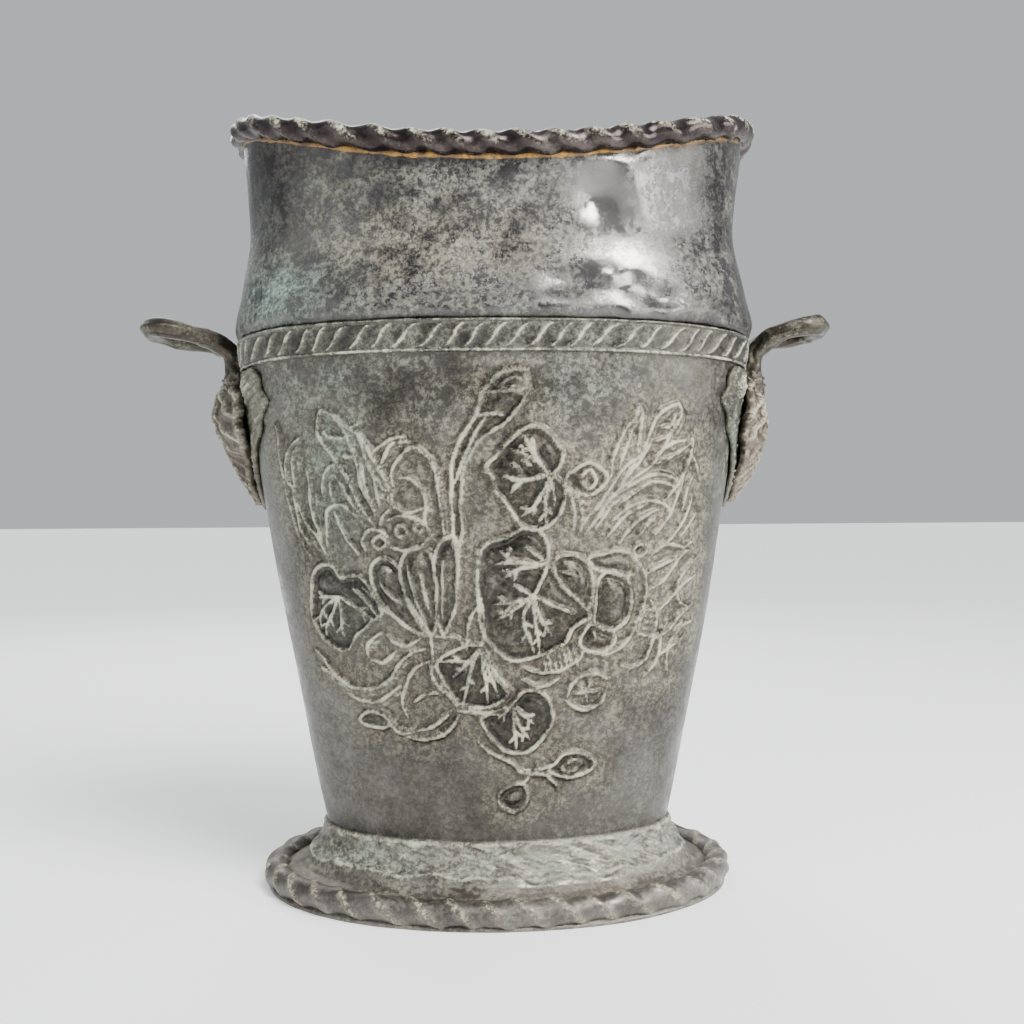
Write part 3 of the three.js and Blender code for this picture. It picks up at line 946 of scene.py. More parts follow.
CRESCENT_TICKS = tuple(
    tick for k in range(5) for tick in fan((59.2 + 0.3 * k, 114 + 2.6 * k), (65.6, 112.5 + 2.8 * k), wide=0.8)
)
CLOUD_PETALS = shapes(
    ((23, 144.5), (25.3, 146.8), (30, 147.5), (34.4, 146.2), (37.4, 142.7), (38.8, 138), (38.8, 132),
     (37.3, 126), (33, 129), (28, 134), (24, 139.5)),
    ((37.4, 146.5), (43.3, 147.6), (48, 148.9), (52.8, 148.7), (56, 146), (57.5, 141.3), (54, 138.6),
     (48.5, 140.4), (42.7, 140.8), (39.3, 142.5)),
    ((44.7, 140.2), (50.2, 139), (54.2, 135.6), (55.3, 130.2), (54.5, 124), (52.5, 119.4),
     (47.8, 116.6), (43.2, 117), (40, 119.6), (40.5, 128), (41, 136)),
    ((38, 119), (43.5, 117), (48, 114.5), (47, 110), (43, 107.5), (37, 108), (34, 112)),
    pillow=2.2,
    shade=0.7,
) + lines(
    ((56.5, 147), (59.5, 142), (61.3, 136.4), (61.5, 131), (60, 125.7), (57.5, 119.7), (55, 113.7),
     (50, 108.7), (44.4, 106.5), (38.2, 107)),
)
SMALL_FLOWER = lines(
    ((28.6, 89), (30, 93.6), (34.6, 97.4), (40.6, 98.7), (45, 96)),
    ((27.8, 87.5), (33, 84.2), (37.6, 83.6), (42.3, 86), (44.7, 89.8)),
) + fan((35.8, 91), (30.5, 90), (32.5, 95), (38.5, 95.5), (41.5, 91), (37, 86), wide=0.85)
LOWER_LEAF = (
    shapes(
        ((6, 86.7), (10.5, 91.4), (15.7, 92), (20, 89.7), (22.3, 84.8), (22.2, 79.3), (20, 73.9),
         (16, 69.3), (11.6, 66.3), (6.5, 66.3), (2, 67.9), (-2.7, 72.7), (-5, 76.5), (-6.5, 81), (0, 84)),
        pillow=0.9,
        shade=0.95,
    )
    + twigs(((6, 86), (14.7, 78.7)), ((6, 86), (7.5, 68)), ((6, 86), (0.5, 81)), ((6, 86), (9, 78),
            (13.3, 71.7)))
)
BOTTOM_LEAVES = (
    lines(
        ((-7.7, 71), (-3.3, 66.3), (2, 63.8), (6, 62), (9.2, 58), (14.8, 57.3), (19.5, 56.5),
         (23.6, 52.5), (24.8, 50)),
        ((14.8, 59), (19.6, 59.7), (23.6, 61.3)),
        ((13.5, 57), (11.5, 54.5), (9.5, 52.6)),
    )
    + shapes(
        ((20.9, 58.4), (23.6, 61.3), (26.8, 64.4), (31.6, 65), (36.4, 64), (40.3, 60.6), (38.5, 57.5),
         (34.4, 56), (29.6, 54.7), (24.8, 55.8)),
        pillow=1.1,
    )
    + shapes(
        ((26, 59), (29.5, 61.5), (34.5, 61), (31.5, 58), (28, 57.5)),
        ((0.2, 46.5), (3, 50.5), (9.5, 52.6), (12.2, 48.5), (11.0, 43.5), (6.5, 41.0), (1.8, 42.6)),
        pillow=1.1,
        pale=0.55,
    )
)
DRAWING: tuple[Stroke, ...] = (
    RIBBON_LEAF + echoes(ARCH_PETAL, 2.0, -1.6) + echoes(LEFT_LONG_LEAVES, 2.1, -1.2) + NESTED_TONGUES
    + echoes(LEFT_EDGE_LEAF, 2.4, 0.4) + BERRIES + TULIP + echoes(STEM, 2.0, 0.6)
    + echoes(LEFT_SCROLLS, 0.6, -2.3) + LEFT_ROUND_LEAF + echoes(LOWER_LEFT_LEAVES, 0.8, 2.0)
    + FAN_LEAF + LOBED_LEAF + DIAMOND + echoes(RIGHT_GRASSES, 1.7, -1.5) + RIGHT_BLADES + RIGHT_ARCS
    + BIG_ROUND_LEAF + CRESCENTS + CRESCENT_TICKS + CLOUD_PETALS + SMALL_FLOWER + LOWER_LEAF
    + BOTTOM_LEAVES
)  # fmt: skip


class Tape:
    """A tape laid round an oval: it turns a distance from the front's middle into an angle, and back."""

    def __init__(self, oval: Oval) -> None:
        """Measures the oval.

        Args:
            oval: the oval that the tape is laid round.
        """
        self.angles = np.linspace(-1.5 * math.pi, 0.5 * math.pi, 6001)
        steps = np.linalg.norm(np.diff(oval.at(self.angles), axis=0), axis=1)
        passed = np.concatenate([[0], np.cumsum(steps)])
        self.length = passed[-1]
        self.passed = passed - passed[len(passed) // 2]
        self.end = oval.a

    def angle(self, distance: np.ndarray) -> np.ndarray:
        """The angle at a distance round."""
        return np.interp(distance, self.passed, self.angles)

    def distance(self, angle: np.ndarray) -> np.ndarray:
        """The distance round at an angle."""
        return np.interp(angle, self.angles, self.passed)

    def spread(self, turn: np.ndarray) -> np.ndarray:
        """The angle at a share of the way round, from -0.5 to 0.5."""
        return self.angle(turn * self.length)


def turn_of(points: np.ndarray) -> np.ndarray:
    """How far round a ring's points are, from -0.5 to 0.5, with 0 at the front."""
    return ((np.arctan2(points[:, 1], points[:, 0]) + math.pi / 2) / math.tau + 0.5) % 1 - 0.5


def facing(direction: np.ndarray, lift: np.ndarray | float = 0.0) -> np.ndarray:
    """Level directions with a height added."""
    return np.column_stack([direction, np.broadcast_to(lift, len(direction))])


class Relief:
    """The hand-raised drawing of leaves and flowers, as a height over the face of one body half."""

    def __init__(self, shape: PotShape, strokes: Sequence[Stroke]) -> None:
        """Lays the strokes out on the face.

        Args:
            shape: the pot's laws of shape.
            strokes: the drawing.
        """
        self.shape = shape
        self.tape = Tape(shape.body(0.13))
        self.strokes = strokes

    def flat(self, points: np.ndarray) -> np.ndarray:
        """Turns points seen from the front, in millimetres, into distance round the face and height.

        Args:
            points: points seen from the front, in millimetres, one row each.

        Returns:
            Distance round the face and height, in millimetres, one row for each point.
        """
        x, height = points[:, 0] * MM, points[:, 1] * MM
        oval = self.shape.body(height)
        share = np.clip(np.abs(x) / oval.a, 0, 0.999)
        swing = math.pi / 2 - np.arccos(share ** (oval.n / 2))
        around = self.tape.distance(-math.pi / 2 + np.sign(x) * swing)
        return np.column_stack([around * oval.a / self.tape.end / MM, points[:, 1]])

    def raised(self, place: np.ndarray) -> tuple[np.ndarray, np.ndarray, np.ndarray, np.ndarray]:
        """The relief's height over a face.

        Args:
            place: distance round the face and height, in millimetres, one row for each point.

        Returns:
            The height in metres, how much each point is on a crest, how much it is in a furrow, and
            how near it is to the drawing.
        """
        swell, crest = np.zeros(len(place)), np.zeros(len(place))
        rise, near, dark = np.zeros(len(place)), np.full(len(place), 60.0), np.zeros(len(place))
        x, z = place.T
        uneven = 1 + 0.12 * np.sin(0.41 * x + 0.67 * z) + 0.10 * np.sin(0.9 * x - 0.5 * z + 2)
        waves = np.sin(0.21 * x + 1.3 * np.sin(0.17 * z)) * np.sin(0.19 * z + 1.1 * np.sin(0.13 * x))
        worn = 0.87 + 0.22 * waves
        place = place + 0.16 * np.column_stack([np.sin(0.4 * z + 0.2 * x), np.sin(0.35 * x - 0.2 * z)])
        for stroke in self.strokes:
            line = self.flat(stroke.dense())
            margin = 9.0
            low, high = line.min(0) - margin, line.max(0) + margin
            picked = np.nonzero(np.all((place > low) & (place < high), axis=1))[0]
            spots = place[picked]
            away, share = distance_to_line(spots, line)
            near[picked] = np.minimum(near[picked], away)
            taper = 1.1 if stroke.closed else 0.55 + 0.6 * np.sin(math.pi * share) ** 0.6
            wide = stroke.wide * taper * uneven[picked]
            bump = np.clip(1 - (away / (1.5 * wide)) ** 2, 0, 1) ** 1.5
            rise[picked] = np.maximum(rise[picked], bump * stroke.high * np.minimum(taper, 1))
            top = np.clip(1.15 - (away / (0.8 * wide)) ** 2, 0, 1) * stroke.pale * worn[picked]
            crest[picked] = np.maximum(crest[picked], top)
            if stroke.pillow:
                inside = inside_line(spots, line)
                dome = stroke.pillow * smooth_step(away, 0.4, 6.5) * inside
                swell[picked] = np.maximum(swell[picked], dome)
                dark[picked] = np.maximum(dark[picked], stroke.shade * inside)
        sunk = np.exp(-((near / 4.0) ** 2)) * np.where(dark > 0.5, 1.1, 0.6)
        furrow = np.exp(-(((near - 1.9) / 1.2) ** 2))
        trough = np.clip(furrow * 0.6 + dark * 0.75, 0, 1) * (1 - crest)
        halo = np.exp(-((near / 9.0) ** 2)) * (1 - 0.7 * np.clip(dark * 1.2, 0, 1))
        return (1.35 * swell + 1.45 * rise - sunk) * MM, crest, trough, halo


def distance_to_line(spots: np.ndarray, line: np.ndarray) -> tuple[np.ndarray, np.ndarray]:
    """How far each point is from a jointed line.

    Args:
        spots: the points, one row each.
        line: the line's corners, one row each.

    Returns:
        For each point, its distance and the share of the line that lies before the place nearest to it.
    """
    nearest, passed = np.full(len(spots), np.inf), np.zeros(len(spots))
    for k, (start, stop) in enumerate(zip(line, line[1:])):
        along = stop - start
        share = np.clip((spots - start) @ along / max(along @ along, 1e-9), 0, 1)
        away = np.linalg.norm(spots - start - share[:, None] * along, axis=1)
        passed = np.where(away < nearest, (k + share) / (len(line) - 1), passed)
        nearest = np.minimum(nearest, away)
    return nearest, passed


def inside_line(spots: np.ndarray, line: np.ndarray) -> np.ndarray:
    """Which points are inside a closed line.

    Args:
        spots: the points, one row each.
        line: the line's corners, one row each.

    Returns:
        True for each point that is inside.
    """
    inside = np.zeros(len(spots), bool)
    for start, stop in zip(line, np.roll(line, -1, axis=0)):
        crosses = (start[1] > spots[:, 1]) != (stop[1] > spots[:, 1])
        rise = stop[1] - start[1] if abs(stop[1] - start[1]) > 1e-9 else 1e-9
        at = start[0] + (spots[:, 1] - start[1]) * (stop[0] - start[0]) / rise
        inside ^= crosses & (spots[:, 0] < at)
    return inside


# ---------------------------------------------------------------- the pot's pieces


@dataclass(frozen=True)
class Body:
    """The tapered body: two halves of thin sheet, each with the relief.

    The back half is the front half, turned half round.
    """

    shape: PotShape
    relief: Relief
    sheet: float = 1.5 * MM
    seam: float = 0.15 * MM
    columns: int = 79
    rows: int = 70
    finer: int = 4
    seed: int = 3

    def make(self, material: bpy.types.Material) -> None:
        """Builds both halves and dresses them.

        Args:
            material: the finish.
        """
        bm = slab(self.columns, self.rows, self.finer)
        flat = corners_of(bm)
        tape = self.relief.tape
        quarter = tape.length / 4 - self.seam
        reached = (-quarter, -0.9 * quarter, 0.9 * quarter, quarter)
        around = np.interp(flat[:, 0], (-1, -0.95, 0.95, 1), reached)
        height = np.interp(flat[:, 1], (0, 0.04, 0.96, 1), (self.shape.bottom, 0.036, 0.226, self.shape.top))
        angle = tape.angle(around)
        oval = self.shape.body(height)
        on_face = np.column_stack([around * oval.a / tape.end, height]) / MM
        lift, crest, furrow, halo = self.relief.raised(on_face)
        calm = smooth_step(height, 0.02, 0.04) * smooth_step(-height, -0.241, -0.226)
        calm *= smooth_step(-np.abs(flat[:, 0]), -1, -0.97)
        lift = (lift + ripple(angle, height, self.seed, 0.55 * MM)) * calm
        outside = flat[:, 2] > 0.5
        out = np.where(outside, lift, -self.sheet)
        spots = facing(oval.at(angle)) + facing(oval.outward(angle)) * out[:, None]
        spots[:, 2] = height
        reshape(bm, lambda _: spots)
        turned = bm.copy()
        bmesh.ops.rotate(turned, verts=turned.verts, matrix=Matrix.Rotation(math.pi, 3, "Z"))
        across, up = on_face[:, 0], on_face[:, 1]
        dust = halo * (0.36 + 0.3 * patch(across, up, 55, 150, 60, 60))
        dust += 0.15 * patch(across, up, 62, 150, 35, 45)
        # Darkens the front near its top, below the shoulder band, at the middle and a little to the left.
        dark_below_band = 0.75 * patch(across, up, 4, 215, 42, 8) + 0.3 * patch(across, up, -30, 205, 22, 9)
        furrow = np.clip(furrow + dark_below_band, 0, 1)
        clean = smooth_step(-up, -90, -55) * (1 - halo) * 0.55
        mint = patch(across, up, -66, 185, 16, 38) * 0.45
        for node, half in (("body_front", bm), ("body_back", turned)):
            piece = finished(f"{node}_skin", half, material, [node])
            paint(piece, CREST, crest * outside)
            paint(piece, FURROW, furrow * outside)
            paint(piece, "dust", np.clip(dust, 0, 1) * outside)
            paint(piece, "mint", mint * outside)
            paint(piece, "clean", clean * outside)


def patch(across: np.ndarray, up: np.ndarray, x: float, z: float, wide: float, tall: float) -> np.ndarray:
    """A soft round patch, from 0 outside to 1 in the middle."""
    return np.exp(-(((across - x) / wide) ** 2) - ((up - z) / tall) ** 2)


@dataclass(frozen=True)
class ShoulderBand:
    """The band of slanting ridges round the shoulder, with a bead above and below."""

    shape: PotShape
    ridges: int = 69
    slant: float = 1.65
    raised: float = 1.3 * MM
    section: Line = ((0.3, 0), (1.3, 0), (1.7, 0.02), (1.9, 0.05), (1.6, 0.09), (0.9, 0.12), (0.9, 0.9),
                     (1.4, 0.92), (1.6, 0.95), (1.4, 0.98), (1.0, 1), (0.3, 1))  # fmt: skip

    def make(self, material: bpy.types.Material) -> bpy.types.Object:
        """Builds the band and dresses it.

        Args:
            material: the finish.

        Returns:
            The finished piece.
        """
        bottom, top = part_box("shoulder_band")[0].z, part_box("shoulder_band")[1].z
        corners = np.array(self.section)
        passed = np.concatenate([[0], np.cumsum(np.linalg.norm(np.diff(corners, axis=0) * (1, 13), axis=1))])
        at = np.linspace(0, passed[-1], 40)
        outward, upward = np.interp(at, passed, corners[:, 0]), np.interp(at, passed, corners[:, 1])
        profile = np.column_stack([outward * MM, upward])
        bm = ring(profile, self.ridges * 11)
        rough = corners_of(bm)
        turn = turn_of(rough)
        share = rough[:, 2]
        height = lerp(bottom, top, share)
        oval = self.shape.body(height)
        angle = Tape(self.shape.body((bottom + top) / 2)).spread(turn)
        bent = share - 0.5 - 0.08 * np.sin(math.tau * (share - 0.5))
        slip = 0.16 * np.sin(9 * angle + 1) + 0.09 * np.sin(23 * angle)
        wave = turn * self.ridges - self.slant * bent + slip
        tooth = (1 - np.abs(np.sin(math.pi * wave))) ** 2.4
        face = smooth_step(share, 0.10, 0.2) * smooth_step(-share, -0.9, -0.8)
        out = np.hypot(rough[:, 0], rough[:, 1]) - 1
        outer = smooth_step(out, 0.5 * MM, 0.9 * MM)
        uneven = ripple(angle, height, 8, 0.35 * MM) * outer
        moved = out + outer * face * tooth * self.raised + uneven
        spots = facing(oval.at(angle)) + facing(oval.outward(angle)) * moved[:, None]
        spots[:, 2] = height
        reshape(bm, lambda _: spots)
        piece = finished("shoulder_band_skin", bm, material, ["shoulder_band"])
        beads = smooth_step(out, 1.3 * MM, 1.7 * MM) * (0.45 + 0.4 * np.sin(7 * angle) ** 2)
        paint(piece, CREST, np.clip(face * smooth_step(tooth, 0.2, 0.75) * 0.9 + beads, 0, 1) * outer)
        paint(piece, FURROW, face * smooth_step(-tooth, -0.3, -0.03) * outer * 0.55)
        return piece


@dataclass(frozen=True)
class Dent:
    """A knock in the neck: across and up in millimetres, its size, and how far it stands out or in."""

    x: float
    z: float
    wide: float
    tall: float
    deep: float


@dataclass(frozen=True)
class Neck:
    """The flared, dented neck between the band and the rim rope."""

    shape: PotShape
    sheet: float = 1.5 * MM
    under_rope: float = 3.2 * MM
    swell: Line = ((0, 5.3), (0.05, 6.9), (0.1, 6.6), (0.18, 4.9), (0.28, 3.3), (0.5, 0), (0.72, 1.2),
                   (0.9, 2.9), (1, 3.4))
    dents: tuple[Dent, ...] = (
        Dent(42, 306, 6, 5, 2.6),
        Dent(41, 291, 8, 8, -4.2),
        Dent(54, 298, 7, 10, 2.4),
        Dent(29, 256, 9, 6, -3.2),
        Dent(43, 259, 8, 5, 2.4),
        Dent(56, 255, 6, 5, -1.6),
        Dent(68, 250, 8, 5, -3.2),
        Dent(8, 262, 16, 8, -1.0),
        Dent(-30, 285, 22, 14, 1.0),
        Dent(-62, 270, 14, 12, -1.2),
        Dent(-10, 310, 20, 8, -0.9),
    )

    def make(self, material: bpy.types.Material) -> bpy.types.Object:
        """Builds the neck and dresses it.

        Args:
            material: the finish.

        Returns:
            The finished piece.
        """
        up = np.linspace(0, 1, 76)
        down = np.linspace(1, 0, 30)
        outside = np.column_stack([np.zeros(len(up)), up])
        inside = np.column_stack([np.full(len(down), -self.sheet), down])
        profile = np.vstack([outside, inside])
        bm = ring(profile, 640)
        rough = corners_of(bm)
        turn, share = turn_of(rough), rough[:, 2]
        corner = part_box("neck_collar")[1]
        angle = Tape(Oval(corner.x, corner.y, 2.4)).spread(turn)
        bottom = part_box("neck_collar")[0].z
        height = lerp(bottom, self.shape.rim_height(angle) - self.under_rope, share)
        curve = smooth_line(self.swell, 200)
        widest = max(out for _, out in self.swell)
        swell = (np.interp(share, curve[:, 0], curve[:, 1]) - widest) * MM
        oval = Oval(corner.x + swell, corner.y + swell, lerp(self.shape.shoulder_n, self.shape.rim_n, share))
        flat = oval.at(angle)
        knock = np.zeros(len(rough))
        for dent in self.dents:
            spot = patch(flat[:, 0] / MM, height / MM, dent.x, dent.z, dent.wide, dent.tall)
            mirrored = patch(-flat[:, 0] / MM, height / MM, dent.x, dent.z, dent.wide, dent.tall)
            knock += dent.deep * MM * np.where(flat[:, 1] < 0, spot, 0.6 * mirrored)
        calm = smooth_step(share, 0, 0.1) * smooth_step(-share, -1, -0.9)
        lip = smooth_step(-share, -0.07, 0.0) * ripple(angle * 4, angle * 0, 6, 1.6 * MM)
        uneven = (knock + ripple(angle, height, 5, 0.7 * MM)) * calm + lip
        out = np.hypot(rough[:, 0], rough[:, 1]) - 1 + uneven
        spots = facing(flat) + facing(oval.outward(angle)) * out[:, None]
        spots[:, 2] = height
        reshape(bm, lambda _: spots)
        piece = finished("neck_collar_skin", bm, material, ["neck_collar"])
        across, tall = flat[:, 0] / MM, height / MM
        front = np.where(flat[:, 1] < 0, 1.0, -1.0)
        paint(piece, "mint", patch(across * front, tall, -90, 256, 22, 11))
        braze = 0.15 + 0.9 * patch(across * front, tall, 18, 310, 42, 90)
        paint(piece, "rust", np.clip(smooth_step(share, 0.955, 0.985) * braze, 0, 1))
        bare = 0.85 * patch(across * front, tall, 44, 283, 20, 36)
        bare += 0.5 * patch(across * front, tall, 62, 262, 14, 14)
        bare = np.clip(bare, 0, 0.9)
        paint(piece, "bare", bare)
        paint(piece, "clean", bare)
        # Painted shade: a dark line along the neck's lower edge where it laps over the band, a painted shadow
        # high on the left end, and a thin painted shadow line across the front near the neck's foot.
        shadowed = 0.5 * patch(across * front, tall, -100, 300, 16, 40)
        shadowed += 0.35 * patch(across * front, tall, 6, 250, 70, 3)
        paint(piece, FURROW, np.clip(smooth_step(-share, -0.03, 0.0) * 0.9 + shadowed, 0, 1))
        paint(piece, "dust", 0.45 * patch(across * front, tall, -30, 272, 60, 16))
        return piece


@dataclass(frozen=True)
class Foot:
    """The flared foot that the body stands in."""

    shape: PotShape
    outline: Line = ((27.5, 0), (27.5, 1.0), (25.5, 2.8), (22.5, 5.6), (20.4, 7.1), (17.6, 8.2),
                     (13.8, 9.9), (11.0, 12.0), (10.3, 13.2), (9.9, 14.4), (9.1, 15.6), (7.9, 16.4),
                     (6.6, 17.6), (5.6, 19.2), (5.4, 20.1), (4.8, 20.8), (4.0, 22.2), (3.5, 24),
                     (3.3, 26.2), (2.6, 27.7), (1.1, 28.4))  # fmt: skip
    inside: Line = ((1.2, 18.4), (4.8, 16.4), (6.9, 13.6), (12.9, 5.2), (17.7, 0))

    def make(self, material: bpy.types.Material) -> bpy.types.Object:
        """Builds the foot and dresses it.

        Args:
            material: the finish.

        Returns:
            The finished piece.
        """
        outer = np.array(self.outline)
        passed = np.concatenate([[0], np.cumsum(np.linalg.norm(np.diff(outer, axis=0), axis=1))])
        at = np.linspace(0, passed[-1], 78)
        face = np.column_stack([np.interp(at, passed, outer[:, k]) for k in (0, 1)])
        profile = np.vstack([face, self.inside]) * MM
        bm = ring(profile, 560)
        rough = corners_of(bm)
        base = self.shape.body(self.shape.bottom)
        angle = Tape(base.grown(15 * MM)).spread(turn_of(rough))
        out = np.hypot(rough[:, 0], rough[:, 1]) - 1
        height = rough[:, 2]
        crusty = smooth_step(height, 12 * MM, 16 * MM) * smooth_step(-height, -28.2 * MM, -27 * MM)
        crusty *= smooth_step(out, 2.6 * MM, 3.2 * MM)
        outer_face = smooth_step(out, 17 * MM, 19 * MM) + crusty
        lumps = ripple(angle * 4, height * 12, 12, 0.55 * MM) + ripple(angle * 8, height * 40, 13, 0.22 * MM)
        moved = out + crusty * lumps + outer_face * ripple(angle, height, 14, 0.25 * MM)
        spots = facing(base.at(angle)) + facing(base.outward(angle)) * moved[:, None]
        wavy = patch(out / MM, height / MM, 9.4, 14.4, 4, 4)
        spots[:, 2] = height + wavy * ripple(angle * 3, angle * 0, 15, 1.3 * MM)
        reshape(bm, lambda _: spots)
        piece = finished("foot_flange_skin", bm, material, ["foot_flange"])
        ledges = patch(out / MM, height / MM, 9.4, 15.0, 1.2, 0.8)
        ledges += patch(out / MM, height / MM, 3.7, 26.6, 2.0, 1.2)
        crested = crusty * smooth_step(lumps, 0.1 * MM, 0.6 * MM) * 0.7 + 0.8 * ledges
        paint(piece, CREST, np.clip(crested, 0, 1))
        paint(piece, "mint", crusty * 0.4)
        paint(piece, "dust", crusty * 0.35 + 0.3)
        seam = patch(out / MM, height / MM, 19.5, 7.6, 1.5, 1.5)
        pits = crusty * smooth_step(-lumps, 0.15 * MM, 0.7 * MM) * 0.9
        paint(piece, FURROW, np.clip(seam + pits, 0, 1))
        rusty = patch(spots[:, 0] / MM, spots[:, 1] / MM, 51, -57, 8, 5)
        paint(piece, "rust", rusty * smooth_step(height, 3 * MM, 6 * MM))
        return piece


@dataclass(frozen=True)
class Rope:
    """A twisted two-lobed rod laid round the pot."""

    node: str
    oval: Oval
    height: Callable[[np.ndarray], np.ndarray]
    turns: int
    radius: float = 5.3 * MM
    tall: float = 1.0
    waist: float = 0.76
    sharp: float = 2.2
    pale: float = 0.7
    tan: float = 0.0
    # How much of the lobes' pale paint is kept to the rope's top side, as a painted highlight.
    highlight_on_top: float = 0.8
    seed: int = 21

    def make(self, material: bpy.types.Material) -> bpy.types.Object:
        """Builds the rope and dresses it.

        Args:
            material: the finish.

        Returns:
            The finished piece.
        """
        around = np.linspace(0, math.tau, 26, endpoint=False)
        bm = ring(np.column_stack([np.cos(around), np.sin(around)]) * 0.1, self.turns * 44)
        rough = corners_of(bm)
        turn = turn_of(rough)
        angle = Tape(self.oval).spread(turn)
        out = np.hypot(rough[:, 0], rough[:, 1]) - 1
        lean = np.arctan2(rough[:, 2], out)
        slip = 0.35 * np.sin(5 * angle + 1) + 0.2 * np.sin(11 * angle)
        wave = lean + math.tau * self.turns * turn + slip
        lobe = np.abs(np.cos(wave)) ** self.sharp
        worn = 1 + ripple(angle * 3, lean * 0.01, self.seed, 0.05)
        reach = self.radius * (self.waist + (1 - self.waist) * lobe) * worn
        sideways = facing(self.oval.outward(angle)) * (np.cos(lean) * reach)[:, None]
        spots = facing(self.oval.at(angle)) + sideways
        spots[:, 2] = np.maximum(self.height(angle) + np.sin(lean) * reach * self.tall, 0)
        reshape(bm, lambda _: spots)
        piece = finished(f"{self.node}_skin", bm, material, [self.node])
        # Painted highlight: the pale paint on the lobes is kept mostly to the rope's upper side, as if lit
        # from above; the rest is crust.
        lit_top = smooth_step(np.sin(lean), -0.5, 0.7)
        paint(piece, CREST, smooth_step(lobe, 0.35, 0.95) * self.pale * lerp(1.0, lit_top, self.highlight_on_top))
        paint(piece, "dust", smooth_step(lobe, 0.25, 0.95) * self.tan)
        paint(piece, FURROW, smooth_step(-lobe, -0.5, 0.0) * (0.7 - 0.6 * self.tan))
        return piece


class Side(Enum):
    """The two ends of the pot, by the sign of X."""

    RIGHT = 1
    LEFT = -1


